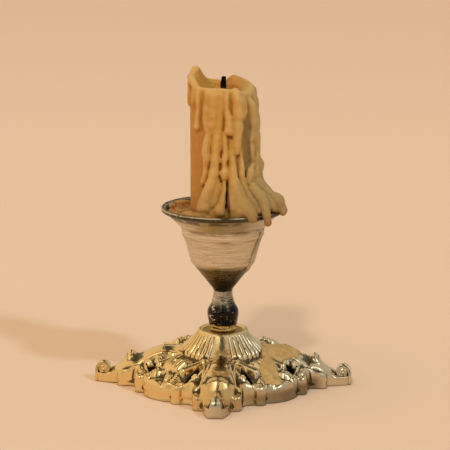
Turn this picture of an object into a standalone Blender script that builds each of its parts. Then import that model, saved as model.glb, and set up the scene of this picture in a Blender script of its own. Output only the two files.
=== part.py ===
"""A melted candle, run with wax, in a turned and cast metal candlestick.

The base is one openwork casting, hollow underneath. A screw from below goes up through it and
through the turned stem into the cup, which holds the candle in a socket. Lengths are written in
millimetres and scaled to metres when each mesh is made. The corners of the base lie on X and Y.
"""

import math

import bmesh
import bpy
import numpy as np
from mathutils import Matrix, Vector

MM = 0.001
GAP = 0.3  # left between neighbouring pieces

# Candle
COLUMN_RADIUS = 11.0
SOCKET_FLOOR = 46.3
CRATER_FLOOR = 101.2
WICK_RADIUS = 0.95
WICK_TOP = 105.9
RIM_WALL = 1.9
# Height of the burnt rim round the column: angle in degrees, height.
RIM = [(-180, 106.6), (-165, 105.2), (-150, 104.2), (-120, 103.4), (-90, 103.1), (-60, 103.2),
       (0, 103.3), (30, 104.0), (56, 105.3), (75, 104.5), (95, 103.8), (120, 104.0), (138, 105.6),
       (150, 108.8), (162, 110.3), (172, 108.8), (180, 106.6)]

# Cup, stem and their screw
LIP_RADIUS = 21.0
LIP_TOP = 61.6
STEM_TOP = 32.3
STEM_FOOT = 18.6
BORE_RADIUS = 1.9
SCREW_RADIUS = BORE_RADIUS - GAP
SCREW_TOP = 42.0
WASHER_TOP = 16.1
WASHER_THICKNESS = 0.8
CUP_STEPS = 48

# Base
DOME_RADIUS = 14.0
DOME_SHOULDER = 8.4
SEAT_RADIUS = 7.2
WALL = 1.9
REED_PITCH = 8.5
REED_HALF_SECTOR = 34.0
# Directions from a corner (0) to the middle of a side (45) at which the casting is cut into columns.
COLUMNS = [0, 2, 4, 5.5, 7, 7.8, 9, 11, 12.6, 13.8, 15, 19, 23.4, 24.4, 26.4, 28.2, 29.2, 33, 38.5, 45]
# Ground outline from a corner to the middle of a side: degrees, radius.
OUTLINE = [(0, 44.7), (1.8, 44.5), (3.2, 43.9), (4.6, 42.7), (5.6, 41.2), (6.6, 39.2), (7.4, 37.3),
           (8.0, 37.0), (9.0, 37.3), (10.6, 37.2), (12.2, 36.3), (13.2, 35.2), (14.2, 33.2),
           (15.5, 31.9), (18, 31.2), (21, 31.1), (23.4, 31.4), (24.4, 32.1), (26.4, 32.6),
           (28.0, 32.1), (29.0, 30.9), (32, 31.5), (36, 32.2), (40, 32.6), (45, 32.8)]


# ---------------------------------------------------------------- shared helpers


def clear_scene():
    for obj in list(bpy.data.objects):
        bpy.data.objects.remove(obj)


def finish(name, bm, colour, roughness, metallic):
    """Turns a bmesh in millimetres into a named object in metres with its own material."""
    bmesh.ops.recalc_face_normals(bm, faces=bm.faces)
    bmesh.ops.scale(bm, vec=(MM, MM, MM), verts=bm.verts)
    mesh = bpy.data.meshes.new(name)
    bm.to_mesh(mesh)
    bm.free()
    mesh.shade_smooth()
    mesh.set_sharp_from_angle(angle=math.radians(35))
    obj = bpy.data.objects.new(name, mesh)
    bpy.context.scene.collection.objects.link(obj)
    mat = bpy.data.materials.new(name)
    mat.use_nodes = True
    shader = mat.node_tree.nodes["Principled BSDF"]
    shader.inputs["Base Color"].default_value = (*colour, 1)
    shader.inputs["Roughness"].default_value = roughness
    shader.inputs["Metallic"].default_value = metallic
    mesh.materials.append(mat)
    return obj


def cutter(name, bm):
    obj = finish(name, bm, (1, 0, 0), 0.5, 0)
    obj.hide_render = True
    obj.display_type = "WIRE"
    return obj


def cut(obj, tool):
    modifier = obj.modifiers.new(tool.name, "BOOLEAN")
    modifier.operation = "DIFFERENCE"
    modifier.object = tool


def turned(outline, steps):
    """An outline of (radius, height) turned about Z. It is closed unless both its ends are on Z."""
    bm = bmesh.new()
    points = [bm.verts.new((radius, 0, height)) for radius, height in outline]
    pairs = list(zip(points, points[1:]))
    if outline[0][0] or outline[-1][0]:
        pairs.append((points[-1], points[0]))
    edges = [bm.edges.new(pair) for pair in pairs]
    bmesh.ops.spin(bm, geom=points + edges, cent=(0, 0, 0), axis=(0, 0, 1), angle=math.tau,
                   steps=steps, use_merge=True, use_duplicate=False)
    bmesh.ops.remove_doubles(bm, verts=bm.verts, dist=0.0001)
    return bm


def polar(radius, degrees, height):
    angle = math.radians(degrees)
    return Vector((radius * math.cos(angle), radius * math.sin(angle), height))


# ---------------------------------------------------------------- wax


def drip(bm, *stations):
    """A run of wax: balls strung close together through stations of (degrees, height, ball radius,
    distance of the ball's centre from the axis)."""
    for start, end in zip(stations, stations[1:]):
        first, last = polar(start[3], *start[:2]), polar(end[3], *end[:2])
        count = max(1, math.ceil((last - first).length / (0.45 * min(start[2], end[2]))))
        for i in range(count + 1):
            share = i / count
            ball = start[2] + (end[2] - start[2]) * share
            lump(bm, first.lerp(last, share), (ball, ball, ball))


def lump(bm, centre, radii):
    bmesh.ops.create_icosphere(bm, subdivisions=2, radius=1,
                               matrix=Matrix.Translation(centre) @ Matrix.Diagonal((*radii, 1)))


def melt(obj, voxel, share):
    """Joins overlapping lumps of wax into one smooth skin, and thins out its faces."""
    remesh = obj.modifiers.new("melt together", "REMESH")
    remesh.mode = "VOXEL"
    remesh.voxel_size = voxel * MM
    smooth = obj.modifiers.new("soften", "SMOOTH")
    smooth.factor = 0.5
    smooth.iterations = 2
    thin = obj.modifiers.new("thin out", "DECIMATE")
    thin.ratio = share


def wax_column():
    """The standing column, with its crater and its rim burnt to an uneven height."""
    inner = COLUMN_RADIUS - RIM_WALL
    rim = 103.0
    skin = SOCKET_FLOOR + GAP
    bm = turned([(0, skin), (COLUMN_RADIUS - GAP, skin), (COLUMN_RADIUS, 58), (COLUMN_RADIUS, 80),
                 (COLUMN_RADIUS, 96), (COLUMN_RADIUS, rim - 1), (COLUMN_RADIUS - 0.5, rim),
                 (inner + 0.3, rim), (inner, rim - 0.6), (inner - 1.5, CRATER_FLOOR),
                 (0, CRATER_FLOOR)], 64)
    angles, heights = zip(*RIM)
    for vert in bm.verts:
        reach = min(1, max(0, (vert.co.z - 96) / 6)) * min(1, max(0, (vert.co.xy.length - 5) / 3))
        angle = math.degrees(math.atan2(vert.co.y, vert.co.x))
        vert.co.z += reach * (np.interp(angle, angles, heights) - rim)
    return bm


def candle_drips(bm):
    # Left of the front: one short run, then the sheet that splits into two long ones.
    drip(bm, (-161, 104.5, 1.1, 10.9), (-161, 97, 0.8, 11.2))
    drip(bm, (-150, 104.5, 1.4, 10.6), (-131, 102, 1.1, 11), (-129, 97, 1.0, 11.1),
         (-133, 92.5, 0.9, 11.2), (-134, 90.6, 1.2, 11.3))
    drip(bm, (-113, 102.4, 1.2, 10.6), (-114, 92, 1.3, 10.9), (-113, 85, 1.2, 11.3),
         (-115, 80.5, 1.5, 11.4), (-114, 76, 1.1, 11.4), (-121, 71, 1.2, 11.5))
    drip(bm, (-100, 102, 1.8, 10.4), (-100, 90, 1.9, 10.7), (-99, 80, 1.4, 11.4),
         (-101, 75, 1.6, 11.6), (-107, 70, 2.0, 12.4), (-110, 66, 2.2, 13.6), (-113, 63.5, 2.3, 15))
    drip(bm, (-90, 102.2, 1.3, 10.4), (-89, 93, 1.3, 10.6))
    # Front: the thin middle run, the broad one beside it and the pile at their foot.
    drip(bm, (-79, 102.3, 1.2, 10.8), (-81, 98, 0.8, 11.2), (-77, 92, 1.5, 11.5), (-75, 87.5, 1.3, 11.6))
    drip(bm, (-83, 89, 1.1, 11), (-82, 80, 1.2, 11.4), (-83, 74.5, 1.4, 11.7), (-86, 69, 0.9, 11.9),
         (-88, 65, 1.3, 13), (-89, 61.5, 1.8, 15))
    drip(bm, (-62, 102.2, 2.1, 10.4), (-60, 95, 2.4, 10.9), (-63, 88, 1.7, 11.2), (-65, 82, 1.5, 11.4))
    drip(bm, (-73, 85, 1.2, 11.3), (-70, 76, 1.5, 11.6), (-66, 71, 1.9, 12.2), (-62, 66, 2.8, 13.6),
         (-57, 63, 3.0, 16.2), (-56, 62.2, 1.9, 19.6), (-58, 61.8, 1.3, 22))
    # Right: a thick, knotted group that leans out to the lip and over it.
    drip(bm, (-44, 102.4, 1.6, 10.4), (-35, 97, 1.7, 11), (-30, 91, 1.8, 11.4), (-17, 84, 1.7, 11.5),
         (-18, 76, 1.4, 11.6), (-22, 73.5, 1.1, 11.6))
    drip(bm, (-8, 102.4, 1.5, 10.5), (-6, 93, 1.7, 11.2), (-4, 84, 1.5, 11.4), (-3, 76, 2.0, 12),
         (-6, 70, 1.9, 12.3), (-12, 66, 2.6, 13.8), (-22, 63.5, 2.6, 17), (-20, 63.2, 2.0, 19.8))
    drip(bm, (-45, 75, 1.5, 11.2), (-42, 70, 2.0, 12), (-46, 65, 2.6, 14), (-45, 63.8, 2.0, 18),
         (-43, 62.8, 1.5, 21.4), (-43, 60.4, 1.35, 23), (-43, 59, 1.2, 23))
    drip(bm, (-12, 66, 2.2, 14), (-5, 64, 2.0, 18), (-8, 62.6, 1.6, 21), (-6, 61.2, 1.2, 22.6))
    # Behind: three plain runs.
    drip(bm, (62, 103.5, 1.6, 10.5), (58, 92, 1.4, 11), (60, 80, 1.6, 11.2), (61, 72, 1.3, 11.3))
    drip(bm, (25, 102.5, 1.5, 10.5), (27, 84, 1.5, 11.1), (24, 70, 1.8, 11.6), (20, 62, 2.4, 14))
    drip(bm, (112, 103, 1.3, 10.6), (114, 88, 1.1, 11.1), (113, 84, 1.3, 11.2))


def candle():
    bm = wax_column()
    candle_drips(bm)
    for degrees, radius, height, width in ((-150, 14.5, 59.0, 3.0), (-125, 15, 59.6, 3.4),
                                           (-100, 14.5, 60.0, 3.6), (-75, 15, 60.5, 3.8),
                                           (-45, 15.5, 61, 4.2), (-15, 15, 61, 4.2), (15, 14.5, 60.5, 3.8),
                                           (50, 14, 60, 3.4), (90, 13.8, 59.4, 3.2), (130, 14, 59, 3.0),
                                           (170, 14.5, 58.8, 2.8)):
        lump(bm, polar(radius, degrees, height), (width, width, 1.9))
    obj = finish("candle", bm, (0.62, 0.40, 0.17), 0.5, 0)
    melt(obj, voxel=0.85, share=0.13)
    cut(obj, cutter("space_of_cup", turned(cup_section(GAP), CUP_STEPS)))
    bore = WICK_RADIUS + GAP
    cut(obj, cutter("space_of_wick", turned([(0, 40), (bore, 40), (bore, 120), (0, 120)], 12)))
    return obj


def wick():
    """The charred wick runs down through the wax and leans a little at its top."""
    bm = turned([(0, SOCKET_FLOOR + GAP), (WICK_RADIUS, SOCKET_FLOOR + GAP),
                 (WICK_RADIUS, CRATER_FLOOR), (WICK_RADIUS * 1.1, CRATER_FLOOR + 2.4),
                 (WICK_RADIUS, WICK_TOP - 0.5), (WICK_RADIUS * 0.6, WICK_TOP), (0, WICK_TOP)], 12)
    for vert in bm.verts:
        vert.co.x += 0.35 * max(0, vert.co.z - CRATER_FLOOR - 0.3) / 4.4
    return finish("wick", bm, (0.02, 0.015, 0.012), 0.9, 0)


def wax_run():
    """A thin run of wax down the outside of the cup, below the finger that hangs over the lip."""
    bm = bmesh.new()
    heights = (53.2, 50, 46.5, 43.2, 41, 39.6)
    drip(bm, *((-31 + 0.6 * (height - 39.6), height, 0.75, cup_radius(height) + 0.75) for height in heights))
    obj = finish("wax_run", bm, (0.5, 0.33, 0.16), 0.5, 0)
    melt(obj, voxel=0.4, share=0.25)
    cut(obj, bpy.data.objects["space_of_cup"])
    return obj


# ---------------------------------------------------------------- cup, stem and screw

# Outside of the cup, from its foot to the lip: radius, height.
CUP_OUTSIDE = [(3.6, 33.3), (4.5, 34.4), (6.1, 36.5), (8.6, 39.7), (9.75, 41.2), (10.7, 42.1),
               (11.1, 43.1), (12.0, 46.5), (12.95, 49.8), (13.45, 51.1), (13.9, 51.9), (14.05, 53),
               (14.2, 54.4), (15.1, 55.4), (16.7, 57.1), (18.9, 59.1), (20.6, 60.5), (21.0, 61.0)]
# Inside of the drip pan, from the lip to the mouth of the candle socket.
CUP_INSIDE = [(20.5, LIP_TOP), (19.9, 61.4), (19.4, 60.7), (17, 58.9), (14, 57.5), (12.2, 57.0), (11.4, 56.6)]


def cup_section(grow=0.0):
    """The cup's section. With grow, its walls stand out by that much, for the space the cup takes."""
    foot, bore_end = STEM_TOP + GAP, SCREW_TOP + 1.5
    socket, floor = COLUMN_RADIUS - grow, SOCKET_FLOOR + grow
    outside = [(radius + 0.85 * grow, height - 0.55 * grow) for radius, height in CUP_OUTSIDE]
    inside = [(radius - 0.5 * grow, height + 0.9 * grow) for radius, height in CUP_INSIDE]
    return [(0, bore_end), (BORE_RADIUS, bore_end), (BORE_RADIUS, foot), (3.3, foot), *outside,
            (LIP_RADIUS + grow, LIP_TOP - 0.2), *inside, (socket, 55.6), (socket, floor), (0, floor)]


def cup_radius(height):
    radii, heights = zip(*CUP_OUTSIDE)
    return float(np.interp(height, heights, radii))


def cup():
    """Drip pan, bell and candle socket, with a blind bore for the screw in its foot."""
    return finish("cup", turned(cup_section(), CUP_STEPS), (0.42, 0.37, 0.32), 0.35, 1)


def stem():
    """The turned baluster: a knop between a waist and the foot that stands in the base's dish."""
    outline = [(BORE_RADIUS, STEM_FOOT), (4.55, STEM_FOOT), (4.7, 19.1), (4.6, 19.8), (4.93, 21.2),
               (5.3, 23.2), (5.42, 24.9), (4.97, 26.3), (3.95, 28.3), (3.4, 30.3), (3.3, STEM_TOP),
               (BORE_RADIUS, STEM_TOP)]
    return finish("stem", turned(outline, 40), (0.06, 0.05, 0.04), 0.4, 1)


def tie_screw():
    """A cheese-head screw from under the base, with a slot across its head."""
    under = WASHER_TOP - WASHER_THICKNESS - GAP
    head = under - 2.1
    outline = [(0, head), (2.9, head), (3.2, head + 0.3), (3.2, under), (SCREW_RADIUS, under),
               (SCREW_RADIUS, SCREW_TOP - 0.5), (SCREW_RADIUS - 0.5, SCREW_TOP), (0, SCREW_TOP)]
    obj = finish("tie_screw", turned(outline, 32), (0.35, 0.34, 0.33), 0.4, 1)
    slot = bmesh.new()
    place = Matrix.Translation((0, 0, head)) @ Matrix.Diagonal((8, 0.9, 1.8, 1))
    bmesh.ops.create_cube(slot, size=1, matrix=place)
    cut(obj, cutter("screw_slot", slot))
    return obj


def washer():
    inner, under, top = BORE_RADIUS, WASHER_TOP - WASHER_THICKNESS, WASHER_TOP
    return finish("washer", turned([(inner, under), (5, under), (5, top), (inner, top)], 32),
                  (0.5, 0.5, 0.48), 0.4, 1)


# ---------------------------------------------------------------- base casting
#
# The top of the casting is a height over the plan. Each corner and its mirror image are alike, so a
# point is folded to s, its distance along the nearest corner's axis, and t, its distance across it.


def fold(x, y):
    x, y = np.abs(x), np.abs(y)
    return np.maximum(x, y), np.minimum(x, y)


def bead(distance, width):
    """The height of a round bead over its own axis, falling steeply past its edge."""
    part = distance / width
    return width * (np.sqrt(np.maximum(1 - part**2, 0)) - 3 * np.maximum(part - 1, 0))


def path(s, t, points):
    """Distance to a line through points of (s, t), and how far along it the nearest place is, 0 to 1."""
    best = np.full(np.shape(s), 1e9)
    share = np.zeros(np.shape(s))
    lengths = [math.dist(a, b) for a, b in zip(points, points[1:])]
    done = 0.0
    for (s0, t0), (s1, t1), length in zip(points, points[1:], lengths):
        along = np.clip(((s - s0) * (s1 - s0) + (t - t0) * (t1 - t0)) / length**2, 0, 1)
        distance = np.hypot(s - s0 - along * (s1 - s0), t - t0 - along * (t1 - t0))
        share = np.where(distance < best, (done + along * length) / sum(lengths), share)
        best = np.minimum(distance, best)
        done += length
    return best, share


def dome_height(r, degrees):
    """The dome with its dished seat, and reeds round it but for a plain panel towards each corner."""
    radii = [0, SEAT_RADIUS, SEAT_RADIUS + 0.4, DOME_SHOULDER, 9.8, 11.5, 13, DOME_RADIUS, 15.5]
    height = np.interp(r, radii, [18.3, 18.3, 18.8, 18.7, 16.6, 14.5, 12.9, 11.8, 3.0])
    from_middle = 45 - degrees
    reeds = np.abs(np.cos(np.pi * (from_middle / REED_PITCH))) - 0.6
    inside = (np.abs(from_middle) < REED_HALF_SECTOR) & (r > DOME_SHOULDER)
    return height + np.where(inside, 0.45 * reeds * (r - DOME_SHOULDER) / 5, 0)


def strap_height(s, t):
    """The strap from the dome to the horn: an arch with a plain field between two raised borders."""
    half = np.interp(s, [12, 14, 17, 22.8, 27, 29.5, 33], [7.2, 6.0, 5.5, 5.4, 5.7, 5.9, 5.4])
    top = np.interp(s, [12, 14, 17.5, 21, 23, 25.7, 27.8, 29.5, 33.2, 36.1, 38.6, 44.4],
                    [11.6, 11.3, 12.0, 12.1, 11.7, 10.7, 9.5, 8.3, 7.2, 5.3, 3.7, 3.2])
    field = top - 0.02 * t**2 - 4 * np.maximum(t - half, 0)
    border = top - 0.7 + bead(np.abs(t - half + 0.8), 0.8)
    return np.where(s < 30.5, np.maximum(field, border), field)


def foot_height(s, t):
    """The horn at the strap's end, the hollow slope below it and the scroll at the tip."""
    horn = 8.9 + 2.1 * np.sqrt(np.maximum(1 - ((s - 31.4) / 2.3) ** 2 - (t / 3.5) ** 2, 0))
    horn = np.where(np.hypot((s - 31.4) / 2.3, t / 3.5) < 1, horn, -5)
    scroll = 4.1 + bead(np.abs(s - 41.2), 2.4) - 1.5 * np.maximum(t - 2.0, 0)
    return np.maximum(horn, scroll)


def side_height(s, t):
    """The skirt wall with its pilasters, and the leaf work that crests between it and the dome."""
    middle, off = (s + t) / math.sqrt(2), (s - t) / math.sqrt(2)
    height = np.interp(middle, [10, 14.5, 17, 21, 24, 27, 29, 31], [10.8, 9.6, 8.6, 7.6, 6.4, 4.6, 3.4, 3.4])
    crest = np.exp(-((middle - 22.0) / 2.2) ** 2 - (off / 4.6) ** 2)
    height = height + 4.6 * crest
    barrel = np.where(off < 3.9, 4.2 + bead(np.abs(middle - 27), 2.0), -5)
    height = np.maximum(height, barrel)
    inward = outline_radius(np.degrees(np.arctan2(t, s))) - np.hypot(s, t)
    wall = np.interp(off, [0, 4, 7, 10, 12.8, 15, 18.8, 22.4], [3.0, 3.4, 4.5, 5.2, 4.6, 5.2, 4.2, 3.0])
    height = np.maximum(height, wall + bead(np.abs(inward - 0.7), 0.8))
    for centre, size, top in (((33.6, 6.3), 1.9, 3.2), ((27.8, 13.2), 2.1, 3.9), ((30.5, 9.0), 2.2, 4.2),
                              ((24.5, 7.5), 1.4, 6.8), ((24.7, 15.6), 1.5, 5.0)):
        height = np.maximum(height, top + bead(np.hypot(s - centre[0], t - centre[1]), size))
    distance, _ = path(s, t, [(13.6, 6.2), (20.8, 12.8)])
    height = np.maximum(height, 8.8 + bead(distance, 1.3))
    distance, share = path(s, t, [(20.8, 12.8), (25.4, 16.0)])
    return np.maximum(height, 7.4 - 2.4 * share + bead(distance, 1.5))


def outline_radius(degrees):
    angles, radii = zip(*OUTLINE)
    return np.interp(degrees, angles, radii)


def relief_height(x, y):
    s, t = fold(x, y)
    r, degrees = np.hypot(s, t), np.degrees(np.arctan2(t, s))
    height = np.maximum(np.maximum(strap_height(s, t), foot_height(s, t)), side_height(s, t))
    height = np.where(r < DOME_RADIUS, -5, height)
    height = np.maximum(height, dome_height(r, degrees))
    inward = np.maximum(outline_radius(degrees) - r, 0)
    rounded_edge = 3.6 + 2.6 * np.sqrt(inward) + 5 * np.maximum(inward - 2, 0)
    return np.minimum(height, rounded_edge)


def underside_height(x, y):
    """The hollow below follows the dome and the straps, a wall's thickness lower."""
    s, t = fold(x, y)
    r = np.hypot(s, t)
    dome = np.interp(r, [0, 8, 9.2, 11, 12.8, 13.4], [16.4, 16.4, 14.8, 12.4, 9.8, 3.5])
    strap = np.interp(s, [12, 22.8, 30, 35, 38], [8.6, 7.6, 6.4, 4.2, 2.4]) - 2.5 * np.maximum(t - 3.6, 0)
    hollow = np.maximum(np.maximum(dome, strap), 2.2)
    return np.minimum(hollow, relief_height(x, y) - 1.4)


def base_columns():
    """Every direction at which the casting is cut, right round."""
    quarter = COLUMNS + [90 - degrees for degrees in reversed(COLUMNS[1:-1])]
    return [90 * corner + degrees for corner in range(4) for degrees in quarter]


def casting(lift=0.0, hollow=True):
    """The whole casting but for its slots: rows of points run over the top from the bore to the
    outline, down the outer wall, and back below to the bore."""
    directions = base_columns()
    top_inner = [BORE_RADIUS, SEAT_RADIUS, SEAT_RADIUS + 0.4, DOME_SHOULDER, 9.8, 11.5,
                 DOME_RADIUS, DOME_RADIUS + 0.9]
    top_outer = [0.12, 0.24, 0.36, 0.48, 0.6, 0.7, 0.8, 0.9, 0.97, 1.0]
    under_outer = [0.95, 0.7, 0.35]
    under_inner = [14.2, 12.8, 8, BORE_RADIUS]
    rows = len(top_inner) + len(top_outer) + 2 + len(under_outer) + len(under_inner)
    bm = bmesh.new()
    ring = [(2 + math.cos(math.tau * i / rows), math.sin(math.tau * i / rows)) for i in range(rows)]
    points = [bm.verts.new((radius, 0, height)) for radius, height in ring]
    edges = [bm.edges.new(pair) for pair in zip(points, points[1:] + points[:1])]
    bmesh.ops.spin(bm, geom=points + edges, cent=(0, 0, 0), axis=(0, 0, 1), angle=math.tau,
                   steps=len(directions), use_merge=True, use_duplicate=False)
    for vert in bm.verts:
        turn = math.atan2(vert.co.y, vert.co.x) % math.tau
        direction = directions[round(turn / math.tau * len(directions)) % len(directions)]
        row = round(math.atan2(vert.co.z, vert.co.xy.length - 2) % math.tau / math.tau * rows) % rows
        edge = float(outline_radius(45 - abs(45 - direction % 90)))
        places = [(radius, "top") for radius in top_inner]
        places += [(top_inner[-1] + (edge - top_inner[-1]) * share, "top") for share in top_outer]
        places += [(edge, "ground"), (edge - WALL, "ground")]
        span = edge - WALL - under_inner[0]
        places += [(under_inner[0] + span * share, "under") for share in under_outer]
        places += [(radius, "under") for radius in under_inner]
        radius, level = places[row]
        x, y, height = polar(radius, direction, 0)
        if level == "top":
            height = float(relief_height(x, y)) + lift
        elif level == "under" and hollow:
            height = float(underside_height(x, y))
        vert.co = (x, y, height)
    bmesh.ops.triangulate(bm, faces=bm.faces)
    return bm


def base():
    obj = finish("base", casting(), (0.72, 0.60, 0.38), 0.2, 1)
    for corner in range(4):
        for side in (-1, 1):
            cut(obj, slot_cutter(corner, side))
    return obj


def slot_cutter(corner, side):
    """One of the eight slots beside the straps, between a strap and the bar next to it."""
    bm = bmesh.new()
    bmesh.ops.create_cube(bm, size=1, matrix=Matrix.Diagonal((9.4, 2.6, 26, 1)))
    upright = [edge for edge in bm.edges if abs(edge.verts[0].co.z - edge.verts[1].co.z) > 1]
    bmesh.ops.bevel(bm, geom=upright, offset=1.1, offset_type="OFFSET", affect="EDGES", segments=2,
                    profile=0.5, material=-1)
    place = Matrix.Translation((20.1, 8.6, 5)) @ Matrix.Rotation(math.radians(27), 4, "Z")
    mirror = Matrix.Diagonal((1, side, 1, 1))
    turn = Matrix.Rotation(math.radians(90 * corner), 4, "Z")
    bmesh.ops.transform(bm, matrix=turn @ mirror @ place, verts=bm.verts)
    return cutter(f"slot_{corner}_{'left' if side > 0 else 'right'}", bm)


# ---------------------------------------------------------------- wax on the base


def spill(name, centre, reach, thickness):
    """Wax set on the casting. reach lists how far it runs from its centre, every 30 degrees."""
    around, rings = 24, 5
    bm = turned([(0, 1), *((i / rings, 1) for i in range(1, rings + 1)), (1, -1), (0, -1)], around)
    for vert in bm.verts:
        share = vert.co.xy.length
        turn = math.degrees(math.atan2(vert.co.y, vert.co.x)) % 360
        distance = share * np.interp(turn, np.arange(0, 361, 30), [*reach, reach[0]])
        x, y, _ = polar(distance, turn, 0) + Vector((*centre, 0))
        floor = max(float(relief_height(x + dx, y + dy)) for dx, dy in
                    ((0, 0), (-1.2, 0), (1.2, 0), (0, -1.2), (0, 1.2)))
        if vert.co.z > 0:
            vert.co = (x, y, floor + 0.8 + thickness * math.sqrt(max(0, 1 - share**4)))
        else:
            vert.co = (x, y, 2)
    obj = finish(name, bm, (0.55, 0.38, 0.2), 0.5, 0)
    cut(obj, bpy.data.objects["space_of_base"])
    return obj


def main():
    clear_scene()
    base()
    cutter("space_of_base", casting(lift=1.5 * GAP, hollow=False))
    washer()
    tie_screw()
    stem()
    cup()
    candle()
    wick()
    wax_run()
    spill("wax_spill", (19.0, -0.5), [8.2, 7.4, 6.4, 6, 6.2, 6.4, 5.4, 5.8, 6.2, 6.4, 6.6, 7.6], 0.6)
    spill("wax_spill_small", (16.2, -16.2), [3, 3, 3.4, 4.6, 4.2, 3, 2.6, 3.2, 5.2, 8, 8.6, 4.4], 0.6)


main()
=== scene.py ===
"""Looks for the melted candle: fine wax with its drips, the burnt wick, the turned cup and stem, the
openwork cast base and the wax spilt on it, their finishes, a plain studio and the camera.

Shapes are worked out in millimetres and scaled to metres when each mesh is made."""
import math

import bmesh
import bpy
import numpy as np
from mathutils import Matrix, Vector, noise


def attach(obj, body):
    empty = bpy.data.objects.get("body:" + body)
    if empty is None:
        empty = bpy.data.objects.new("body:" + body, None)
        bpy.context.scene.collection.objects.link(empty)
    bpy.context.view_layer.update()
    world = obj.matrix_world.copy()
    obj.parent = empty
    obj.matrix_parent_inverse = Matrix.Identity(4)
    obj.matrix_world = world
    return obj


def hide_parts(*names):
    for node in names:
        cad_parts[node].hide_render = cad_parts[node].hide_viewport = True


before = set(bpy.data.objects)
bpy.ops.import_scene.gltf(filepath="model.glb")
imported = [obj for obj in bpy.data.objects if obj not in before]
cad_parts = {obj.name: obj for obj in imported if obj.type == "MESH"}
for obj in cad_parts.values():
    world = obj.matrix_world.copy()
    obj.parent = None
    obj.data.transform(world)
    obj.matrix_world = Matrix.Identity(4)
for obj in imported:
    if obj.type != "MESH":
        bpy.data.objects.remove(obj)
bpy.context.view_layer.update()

MM = 0.001
PER_METRE = 1000
ROOT = "root"
WAX_SEED = 3
noise.seed_set(WAX_SEED)  # without a seed, noise_vector follows the clock and the runs of wax differ

# ---------------------------------------------------------------- sizes, in millimetres

COLUMN_RADIUS = 11.0
SOCKET_FLOOR = 46.6
CRATER_FLOOR = 101.0
RIM_TOP = 103.0
RIM_WALL = 1.9
WICK_RADIUS = 0.92
WICK_TOP = 105.9
PAN_LEVEL = 60.0
CUP_FLOOR = 46.3
CUP_BORE_END = 43.5
CUP_LIP_START = 60.3
STEM_TOP = 32.3
STEM_FOOT = 18.6
JOINT_GAP = 0.3
BORE_RADIUS = 1.9

# Height of the burnt rim round the column: degrees, height.
RIM = [(-180, 106.4), (-165, 105.4), (-150, 103.9), (-140, 103.1), (-130, 102.9), (-110, 102.9),
       (-85, 102.9), (-65, 102.4), (-46, 101.8), (-25, 102.0), (0, 103.0), (25, 103.5), (45, 104.3),
       (58, 104.7), (70, 105.0), (79, 104.3), (88, 103.5), (97, 103.6), (115, 103.9), (128, 104.5),
       (136, 105.6), (143, 107.0), (152, 108.6), (161, 108.8), (170, 107.8), (180, 106.4)]
# Outside of the cup, from its foot to the lip: radius, height.
CUP_OUTSIDE = [(3.4, 32.9), (3.6, 33.3), (4.5, 34.4), (6.1, 36.5), (8.6, 39.7), (9.75, 41.2), (9.95, 41.6),
               (10.6, 42.0), (11.1, 43.1), (12.0, 46.5), (12.95, 49.8), (13.4, 51.0), (13.6, 51.5),
               (14.0, 52.1), (14.05, 53), (14.15, 54.2), (14.4, 54.8), (15.1, 55.4), (16.7, 57.1),
               (18.9, 59.1), (20.2, 59.8), (20.9, 60.3)]
CUP_LIP = [(21.0, 60.8), (20.95, 61.2), (20.7, 61.5), (20.3, 61.6), (19.9, 61.45), (19.5, 61.0)]
CUP_INSIDE = [(17, 58.9), (14, 57.5), (12.2, 57.0), (11.5, 56.6), (11.0, 55.6), (11.0, CUP_FLOOR)]
STEM_OUTSIDE = [(4.2, 18.6), (4.6, 18.75), (4.72, 19.1), (4.6, 19.7), (4.62, 20.0), (4.93, 21.2), (5.3, 23.2),
                (5.42, 24.6), (5.3, 25.6), (4.97, 26.3), (4.3, 27.4), (3.95, 28.3), (3.55, 29.6),
                (3.38, 30.6), (3.3, 31.6), (3.3, 32.3)]

# ---------------------------------------------------------------- colours

# Painted light among these: the ridges tone is a painted highlight, the recess, furrow, slit and crease tones
# are painted shade, and the dust tone is partly painted shade.
WAX_TONES = {"column": (0.46, 0.185, 0.014), "drips": (0.53, 0.255, 0.040), "ridges": (0.64, 0.36, 0.115),
             "dust": (0.42, 0.285, 0.10), "low": (0.26, 0.125, 0.030), "mottling": (0.62, 0.36, 0.10),
             "stains": (0.25, 0.125, 0.035), "recess": (0.15, 0.058, 0.006),
             "dusty recess": (0.12, 0.072, 0.026), "furrow_shade": (0.19, 0.115, 0.036),
             "slit_shade": (0.10, 0.04, 0.005), "crease_shade": (0.13, 0.05, 0.006), "thin film": (0.22, 0.075, 0.007),
             "film": (0.47, 0.21, 0.036), "run": (0.44, 0.31, 0.165)}
# The crease tone of the spilt wax is painted shade.
SPILT_TONES = {"dark": (0.45, 0.25, 0.075), "pale": (0.56, 0.33, 0.11), "crease_shade": (0.16, 0.09, 0.03)}
WICK_TONES = {"waxed": (0.06, 0.02, 0.005), "charred": (0.002, 0.002, 0.002)}
CUP_TONES = {"rubbed": (0.53, 0.46, 0.35), "bright": (0.86, 0.775, 0.63), "scratches": (0.25, 0.20, 0.11),
             "right": (0.36, 0.305, 0.215), "brown": (0.48, 0.36, 0.22), "brass": (0.70, 0.52, 0.30),
             "olive": (0.16, 0.125, 0.06), "cone": (0.030, 0.024, 0.013), "cone olive": (0.255, 0.21, 0.13),
             "lip": (0.085, 0.072, 0.048)}
STEM_TONES = {"lacquer": (0.010, 0.008, 0.006), "silver": (0.74, 0.66, 0.53), "gilt": (0.66, 0.47, 0.18)}
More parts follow.
